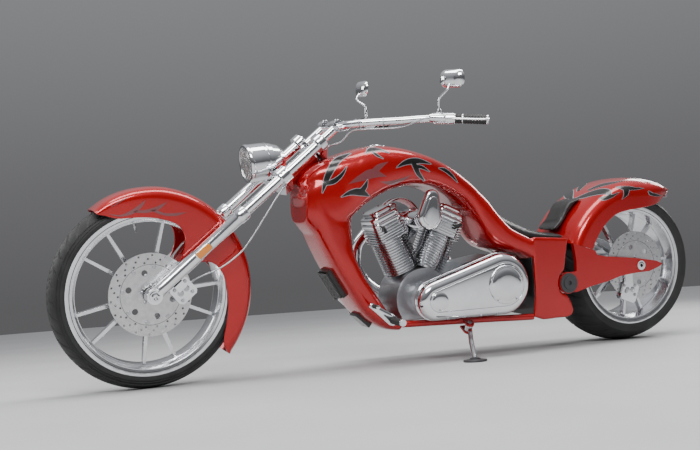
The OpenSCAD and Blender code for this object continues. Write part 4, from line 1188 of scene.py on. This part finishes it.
# bars, grips, levers and cables
ctrl = [[0, 85, 0], [-22, 125, 4], [-75, 168, 10], [-178, 226, 16], [-262, 276, 22], [-345, 330, 22],
        [-448, 398, 16]]
BAR_AT = AXLE + BAR_Z * FORK_UP - 8 * FORK_N
BAR_UP = front((0, 0, 1)) - front((0, 0, 0))


def bar_point(p, s=1):
    """Millimetres from the middle of the bar to row metres; s is -1 on the right."""
    q = BAR_AT + V((p[0], p[1], p[2]))
    return front((q.x, s * q.y, q.z))


fine = smooth(ctrl, 8)
coarse = smooth(ctrl, 4) + [[-451, 400, 16]]
bars = Pile()
half = [q for q in fine if q[1] <= 344]
line = [bar_point(q, -1) for q in reversed(half)] + [bar_point((0, y, 0)) for y in (-60, -30, 0, 30, 60)] \
    + [bar_point(q) for q in half]
tube(bars, line, 0.014, 32)
bars.piece("polished_bar", CHROME, "fork", replaces=("handlebar",), slot="chrome")
g_dir = V((-103, 68, -6)).normalized()
g_n = -V((0, 0, 1)).cross(g_dir).normalized()
g0, g1 = V(coarse[-6]), V(coarse[-2])
grip, bands = Pile(), Pile()
for s in (1, -1):
    n = 66
    pts = [bar_point(g0.lerp(g1, i / n), s) for i in range(n + 1)]
    tube(grip, pts, [(0.0166 if 4 < i < n - 4 and i % 6 < 2 else 0.0178) for i in range(n + 1)], 36)
    a = pts[0]
    d = (pts[-1] - pts[0]).normalized()
    for t, r in ((0.000, 0.0180), (0.0285, 0.0180)):
        ring(bands, a + d * (0.002 + t), d, [(0.0160, -0.002), (r, -0.0015), (r, 0.0015), (0.0160, 0.002)],
             40)
    lathe(bands, pts[-1], d, [(0.0178, -0.006), (0.0180, -0.001), (0.0165, 0.0012), (0.010, 0.0024),
                              (0.0, 0.0027)], 40)
grip.piece("ribbed_grips", RUBBER, "fork", replaces=("grips",), slot="black_rubber", sharp=50)
bands.piece("grip_bands", CHROME, "fork", slot="chrome")
ctl, knobs = Pile(), Pile()
c, e = V(coarse[-8]), V(coarse[-2])
path = [V(q) for q in coarse]
for s in (1, -1):
    tube(ctl, [bar_point(path[i], s) for i in range(len(path) - 9, len(path) - 5)], 0.0208, 36)
    a = bar_point(c + g_n * 12, s)
    b = bar_point(c + g_n * 34, s)
    tube(ctl, [a, b], 0.011, 20)
    p0, p1 = c + g_n * 34 - g_dir * 38, c + g_n * 34 + g_dir * 22
    tube(ctl, [bar_point(p0.lerp(p1, t), s) for t in (0, 0.03, 0.1, 0.9, 0.97, 1.0)],
         [0.010, 0.0136, 0.0149, 0.0149, 0.0136, 0.010], 32)
    lever = smooth([list(q) for q in (c + g_n * 36 + g_dir * 10, c + g_n * 50 + g_dir * 50,
                                      c + g_n * 52 + g_dir * 120, e + g_n * 58 + g_dir * 4)], 10)
    r = [0.0054 - 0.0016 * min(1, i / 6) + (0.0016 if i >= len(lever) - 3 else 0) for i in range(len(lever))]
    tube(ctl, [bar_point(q, s) for q in lever], r, 16)
    hex_bolt(knobs, bar_point(c + g_n * 36 + g_dir * 8 + V((0, 0, 14)), s), BAR_UP,
             0.0042, 0.004)
    for t in (0.2, 0.8):
        q = p0.lerp(p1, t) + V((0, 0, 14.6))
        dome_bolt(knobs, bar_point(q, s), BAR_UP, 0.0032, 0.0024)
    # switch pod with two small buttons
    q = c - g_dir * 2 + V((0, 0, 19))
    for t in (-8, 6):
        lathe(knobs, bar_point(q - g_n * 6 + g_dir * t, s), BAR_UP,
              [(0.0042, -0.003), (0.0042, 0.0026), (0.0034, 0.0034), (0, 0.0036)], 18)
ctl.piece("hand_levers", CHROME, "fork", replaces=("hand_controls",), slot="chrome", sharp=45)
knobs.piece("lever_screws_and_buttons", BOLT, "fork", slot="chrome")

hose, clips = Pile(), Pile()
hpath = smooth([[-62, 68, 133], [-68, 82, 170], [-90, 97, 240], [-98, 101, 320], [-89, 102, 381],
                [-62, 102, 480],
                [-40, 99, 560], [-30, FORK_Y, TREE_LOW - 0.6]], 8)
tube(hose, [fork(q) for q in hpath], 0.0031, 14)
for i in (0, len(hpath) - 1):
    a, b = fork(hpath[i]), fork(hpath[1 if i == 0 else len(hpath) - 4])
    tube(clips, [a, a.lerp(b, 0.5) if i else b, b if i else fork(hpath[3])], 0.0048, 16)

def fork_place(n, y, u):
    """A place given as on the fork, in the bar's own millimetres."""
    q = AXLE + n * FORK_N + V((0, y, 0)) + u * FORK_UP - BAR_AT
    return [q.x, q.y, q.z]


cpath = smooth([list(c + g_n * 34 - g_dir * 38.6), list(c + g_n * 32 - g_dir * 62 - V((0, 0, 6))),
                [-178, 226, -8], [-75, 168, -14], [-28, 130, -20], fork_place(-52, 100, 885),
                fork_place(-45, 64, 858), fork_place(-44, 60, 842), fork_place(-44, 60, TREE_HIGH + 26.7)], 8)
for s in (1, -1):
    tube(hose, [bar_point(q, s) for q in cpath], 0.0031, 14)
    a, b = bar_point(cpath[0], s), bar_point(cpath[5], s)
    tube(clips, [a, a.lerp(b, 0.5), b], [0.005, 0.005, 0.0038], 16)
    tube(clips, [bar_point(q, s) for q in cpath[-9:]], 0.0046, 16)
    for k in (20, 27):
        q = V(cpath[k])
        near = min((V(v) for v in fine), key=lambda v: (v - q).length)
        w = (bar_point(list(q), s) - bar_point(list(near), s)).normalized()
        ax = (bar_point(cpath[k + 1], s) - bar_point(cpath[k], s)).normalized()
        band(clips, bar_point(list(near), s), ax, 0.0142, 0.0152, 0.003, 28)
        band(clips, bar_point(list(q), s), ax, 0.0031, 0.0042, 0.003, 20)
        tube(clips, [bar_point(list(near), s) + w * 0.0145, bar_point(list(q), s) - w * 0.0035], 0.0018, 8)
hose.piece("braided_lines", BRAID, "fork", replaces=("control_lines",), slot="disc_steel")
clips.piece("line_unions_and_clips", BOLT, "fork", slot="chrome")

# mirrors: domed back, thin rim and glass
shell, glass = Pile(), Pile()
for s, yaw, ahead in ((1, 30, 0), (-1, 2, 46)):
    m = BAR_AT + V(coarse[-8])
    mc = V((m.x - 34 + ahead, s * (m.y + 22), 1090))
    foot = V((m.x, s * (m.y - 4), m.z + 14 + 7 + 0.7))
    stem = smooth([list(q) for q in (foot, foot + V((2, 0, 22)), foot + V((4, s * 6, 50)),
                                     mc + V((20, 0, -44)),
                                     mc + V((6, 0, -20)))], 8)
    tube(shell, [front(q) for q in stem], [0.0062 if i < 5 else 0.0044 for i in range(len(stem))], 20)
    turn = Matrix.Rotation(rad(yaw), 3, "Z")

    def spot(x, y, z, mc=mc, turn=turn):
        return front(mc + turn @ V((x, y, z)))
    loop = box_loop(0, 0, 102, 66, 27, n=9)
    rows = [(33, 11.8), (26, 11), (18, 9), (10, 5.4), (4, 1), (1, -4), (0, -7), (1.2, -7.8), (3, -7.6),
            (3.6, -6.2)]
    loft(shell, [[spot(d, x, z) for x, z in loop(q)] for q, d in rows])
    loft(glass, [[spot(d, x, z) for x, z in loop(q)] for q, d in ((3.4, -5.8), (3.5, -6.6), (16, -6.75),
                                                                  (30, -6.8))])
shell.piece("mirror_shells", CHROME, "fork", replaces=("mirrors",), slot="chrome", sharp=50)
glass.piece("mirror_glasses", MIRROR, "fork", slot="chrome")

# headlight: bezel, clear lens with ribs, and bowl with its bulb
LAMP = V((-378, 0, 446)) + AXLE
la = Matrix.Rotation(rad(8), 3, "Y") @ V((-1, 0, 0))


def lamp(h):
    return front(LAMP + la * h)


L0, LA = lamp(0), (lamp(1) - lamp(0)).normalized()
bez, clear, bowl = Pile(), Pile(), Pile()
ring(bez, L0, LA, [(0.058, 0.004), (0.0600, -0.0035), (0.064, -0.0052), (0.069, -0.0046), (0.0716, -0.001),
                   (0.0720, 0.008), (0.0705, 0.010), (0.0702, 0.004)], 96)
ring(bez, L0, LA, [(0.0664, 0.070), (0.0690, 0.071), (0.0690, 0.075), (0.0655, 0.076)], 96)
lathe(clear, L0, LA, [(0.0598, 0.003), (0.0590, -0.0015), (0.050, -0.0052), (0.036, -0.0086),
                      (0.018, -0.0104),
                      (0.0, -0.0110)], 80)
lathe(bowl, L0, LA, [(0.0585, 0.0052), (0.050, 0.0082), (0.038, 0.0108), (0.022, 0.0128), (0.0085, 0.0136),
                     (0.0075, 0.0080), (0.0050, 0.0058), (0.0, 0.0052)], 64)
for k in range(9):
    y = -0.040 + 0.01 * k
    w = math.sqrt(max(0.0, 0.052**2 - y * y))
    side = LEFT * y
    zdir = LA.cross(LEFT).normalized()
    tube(clear, [L0 + side - LA * (0.0080 * (1 - (y / 0.056)**2) + 0.0018) + zdir * (w * t)
                 + LA * (0.0068 * t * t)
                 for t in (-0.9, -0.6, -0.3, 0, 0.3, 0.6, 0.9)], 0.0006, 6)
bez.piece("headlight_bezel", CHROME, "fork", slot="chrome")
clear.piece("headlight_lens", GLASS, "fork", slot="chrome")
bowl.piece("headlight_bowl", MIRROR, "fork", slot="chrome")
knob = Pile()
hex_bolt(knob, fork((6, 12.2, TREE_LOW + 30)), LEFT, 0.007, 0.006)
hex_bolt(knob, fork((6, -12.2, TREE_LOW + 30)), -LEFT, 0.007, 0.006)
knob.piece("headlight_bolts", BOLT, "fork", slot="chrome")

# ---- exhausts with open tips, shields and clamps ----
pipes, shields, soot = Pile(), Pile(), Pile()
for x, pts in ((1114, [[1122, -120, 512], [1148, -172, 450], [1132, -196, 350], [1046, -206, 262],
                       [880, -212, 218], [520, -214, 205], [170, -214, 204]]),
               (828, [[812, -120, 512], [778, -174, 450], [708, -200, 352], [600, -212, 296],
                      [450, -214, 274],
                      [230, -214, 270]])):
    route = [[x, -79.6, 518]] + smooth([[x, -94, 518]] + pts, 10)
    pp = [bike(q) for q in route]
    tube(pipes, pp[:-1], 0.0226, 36)
    d = (pp[-1] - pp[-3]).normalized()
    end = pp[-1]
    ring(pipes, end, d, [(0.0195, -0.10), (0.0238, -0.10), (0.0238, -0.0012), (0.0228, 0.0),
                         (0.0212, -0.0006),
                         (0.0200, -0.003), (0.0198, -0.012)], 48)
    lathe(soot, end, d, [(0.0198, -0.004), (0.0196, -0.060), (0.012, -0.092), (0.0, -0.094)], 40)
    n = len(pp)
    a0, a1 = int(n * 0.50), n - 12
    tube(shields, [pp[i] + OUT * -0.0004 for i in range(a0, a1)],
         [0.0239 if a0 + 1 < i < a1 - 2 else 0.0228 for i in range(a0, a1)], 36)
    for i in (12, a0 - 2, a1 + 1):
        dd = (pp[i + 1] - pp[i - 1]).normalized()
        ring(shields, pp[i], dd, [(0.0225, -0.005), (0.0242, -0.005), (0.0242, 0.005), (0.0225, 0.005)], 44)
        dome_bolt(shields, pp[i] - OUT * 0.0232, -OUT, 0.004, 0.003)
    for i in range(a0 + 6, a1 - 6, 7):
        t = (pp[i + 1] - pp[i - 1]).normalized()
        o = pp[i] - OUT * 0.0238
        tube(soot, [o - t * 0.010, o, o + t * 0.010], 0.0016, 8)
pipes.piece("exhaust_pipes", CHROME, "frame", replaces=("exhausts",), slot="chrome", sharp=40)
shields.piece("exhaust_shields", POLISHED, "frame", slot="chrome", sharp=40)
soot.piece("exhaust_bores", SOOT, "frame", slot="black_paint")

# air cleaner: domed cover with ribs
air = Pile()
ac = bike((CRANK[0], 0, 556))
lathe(air, ac, -OUT, [(r / 1000, h / 1000) for r, h in (
    (26, 58.5), (26, 97), (80, 97), (87, 99), (88, 103), (88, 112), (84, 114), (84, 132), (88, 134),
                                                        (88, 146),
    (85, 150), (72, 152.5), (70, 156), (66, 158.6), (50, 159.6), (0, 160))], 96)
for k in range(24):
    a = 15 * k
    p = [ac - OUT * h + (bike((cosd(a), 0, sind(a))) - bike((0, 0, 0))) * 84.5 for h in (0.1145, 0.1315)]
    tube(air, p, 0.0022, 6)
for k in range(3):
    a = 120 * k + 30
    p = ac - OUT * 0.1592 + (bike((cosd(a), 0, sind(a))) - bike((0, 0, 0))) * 44
    dome_bolt(air, p, -OUT, 0.0045, 0.003)
air.piece("air_cleaner_cover", CHROME, "frame", replaces=("air_cleaner",), slot="chrome", sharp=35)

# side stand: smooth bent leg, foot plate and pivot bolt
stand = Pile()
S0, F0 = V((820, 146, 132)), V((896, 321, 321 * math.tan(rad(LEAN))))
legp = smooth([list(S0 + V((0, 8, -5))), list((S0 + F0) / 2 + V((2, 0, 5))), list(F0 + V((0, 0, 10)))], 10)
tube(stand, [bike(q) for q in legp],
     [0.0098 - 0.0018 * abs(i / len(legp) - 0.5) for i in range(len(legp))], 24)
tilt = math.atan2(S0.z - F0.z - 10, F0.y - S0.y)
ax = heading(bike, (0, math.sin(tilt), math.cos(tilt)))
ring(stand, bike(S0), ax, [(0.0064, -0.0124), (0.0138, -0.0124), (0.0149, -0.0112), (0.0149, 0.0112),
                           (0.0138, 0.0124), (0.0064, 0.0124)], 44)
foot = Pile()
fb = bike(F0)
lathe(foot, V((fb.x, fb.y, 0.0)), V((0, 0, 1)), [(0.0425, 0.0002), (0.0438, 0.0015), (0.0438, 0.0060),
                                                 (0.0425, 0.0076),
                                          (0.022, 0.0082), (0.0195, 0.0100), (0.0190, 0.0138),
                                                 (0.014, 0.0150),
                                          (0.0, 0.0150)], 48)
stand.piece("stand_leg", CHROME, "stand", replaces=("side_stand",), slot="chrome", sharp=40)
foot.piece("stand_foot_pad", DARK, "stand", slot="chrome", sharp=40)
sp = Pile()
lathe(sp, bike(S0) + ax * 0.0214, ax, [(0.009, -0.001), (0.009, 0.0030), (0.0075, 0.0044), (0.0, 0.0048)], 6)
sp.piece("stand_pivot_bolt", BOLT, "frame", slot="chrome")

# pegs with ribbed rubber, pedals and linkage
pegs, rubbers = Pile(), Pile()
for s in (1, -1):
    for px, pz, y0, y1, r in ((1150, 186, 90, 140, 16), (1150, 186, 139, 158, 13)):
        tube(pegs, [bike((px, s * y, pz)) for y in (y0, y1)], r / 1000, 28)
    n = 44
    ys = [162 + (244 - 162) * i / n for i in range(n + 1)]
    tube(rubbers, [bike((1150, s * y, 186)) for y in ys],
         [0.0138 if i % 4 < 2 else 0.0122 for i in range(n + 1)], 28)
    lathe(pegs, bike((1150, s * 244, 186)), OUT * s, [(0.0138, -0.001), (0.0140, 0.003), (0.0125, 0.0052),
                                                      (0, 0.006)], 28)
    loft(pegs, [[bike((x, s * y, z)) for x, z in link_loop((1150, 186), 20, (1232, 246), 10)(q)]
                for q, y in ((2, 150), (0, 151.5), (0, 158.5), (2, 160))])
    tube(pegs, [bike((1232, s * y, 246)) for y in (150, 172)], 0.0070, 20)
    n = 20
    tube(rubbers, [bike((1232, s * (172 + 41 * i / n), 246)) for i in range(n + 1)],
         [0.0080 if i % 4 < 2 else 0.0070 for i in range(n + 1)], 22)
    lathe(pegs, bike((1232, s * 213, 246)), OUT * s, [(0.0080, -0.001), (0.0080, 0.0008), (0.006, 0.0018),
                                                      (0, 0.002)], 22)
    hex_bolt(pegs, bike((1150, s * 158, 206)), OUT * s, 0.004, 0.003)
pegs.piece("foot_controls", CHROME, "frame", replaces=("forward_controls",), slot="chrome", sharp=40)
rubbers.piece("foot_rubbers", RUBBER, "frame", slot="black_rubber", sharp=50)

# fuel cap, neck rings and tail lamp ends
cap = Pile()
hit, nn, _, _ = SHAPES.ray_cast(bike((1120, 0, 1200)), down)
nn = V(nn) if V(nn).z > 0 else -V(nn)
lathe(cap, hit, nn, [(0.034, -0.004), (0.034, 0.0016), (0.0325, 0.0030), (0.030, 0.0032), (0.0292, 0.0022),
                     (0.0285, 0.0046), (0.024, 0.0062), (0.012, 0.0072), (0.0, 0.0075)], 64)
cap.piece("fuel_cap", CHROME, "frame", slot="chrome")
cups = Pile()
for z in (TREE_LOW + 44, TREE_HIGH - 8):
    ring(cups, fork((-46, 0, z)), UP, [(0.0335, -0.003), (0.0362, -0.0022), (0.0362, 0.0022),
                                       (0.0335, 0.003)], 56)
cups.piece("neck_rings", CHROME, "frame", slot="red_paint")
tail = Pile()
LAMP_ANGLE, LAMP_R = 132.26, 390
tc = rear_wheel(V((LAMP_R * cosd(LAMP_ANGLE), 0, LAMP_R * sind(LAMP_ANGLE))))
for s in (1, -1):
    tube(tail, [tc + OUT * s * 0.0352, tc + OUT * s * 0.0366], [0.0083, 0.0076], 28)
tail.piece("tail_lamp_ends", CHROME, "frame", slot="chrome")


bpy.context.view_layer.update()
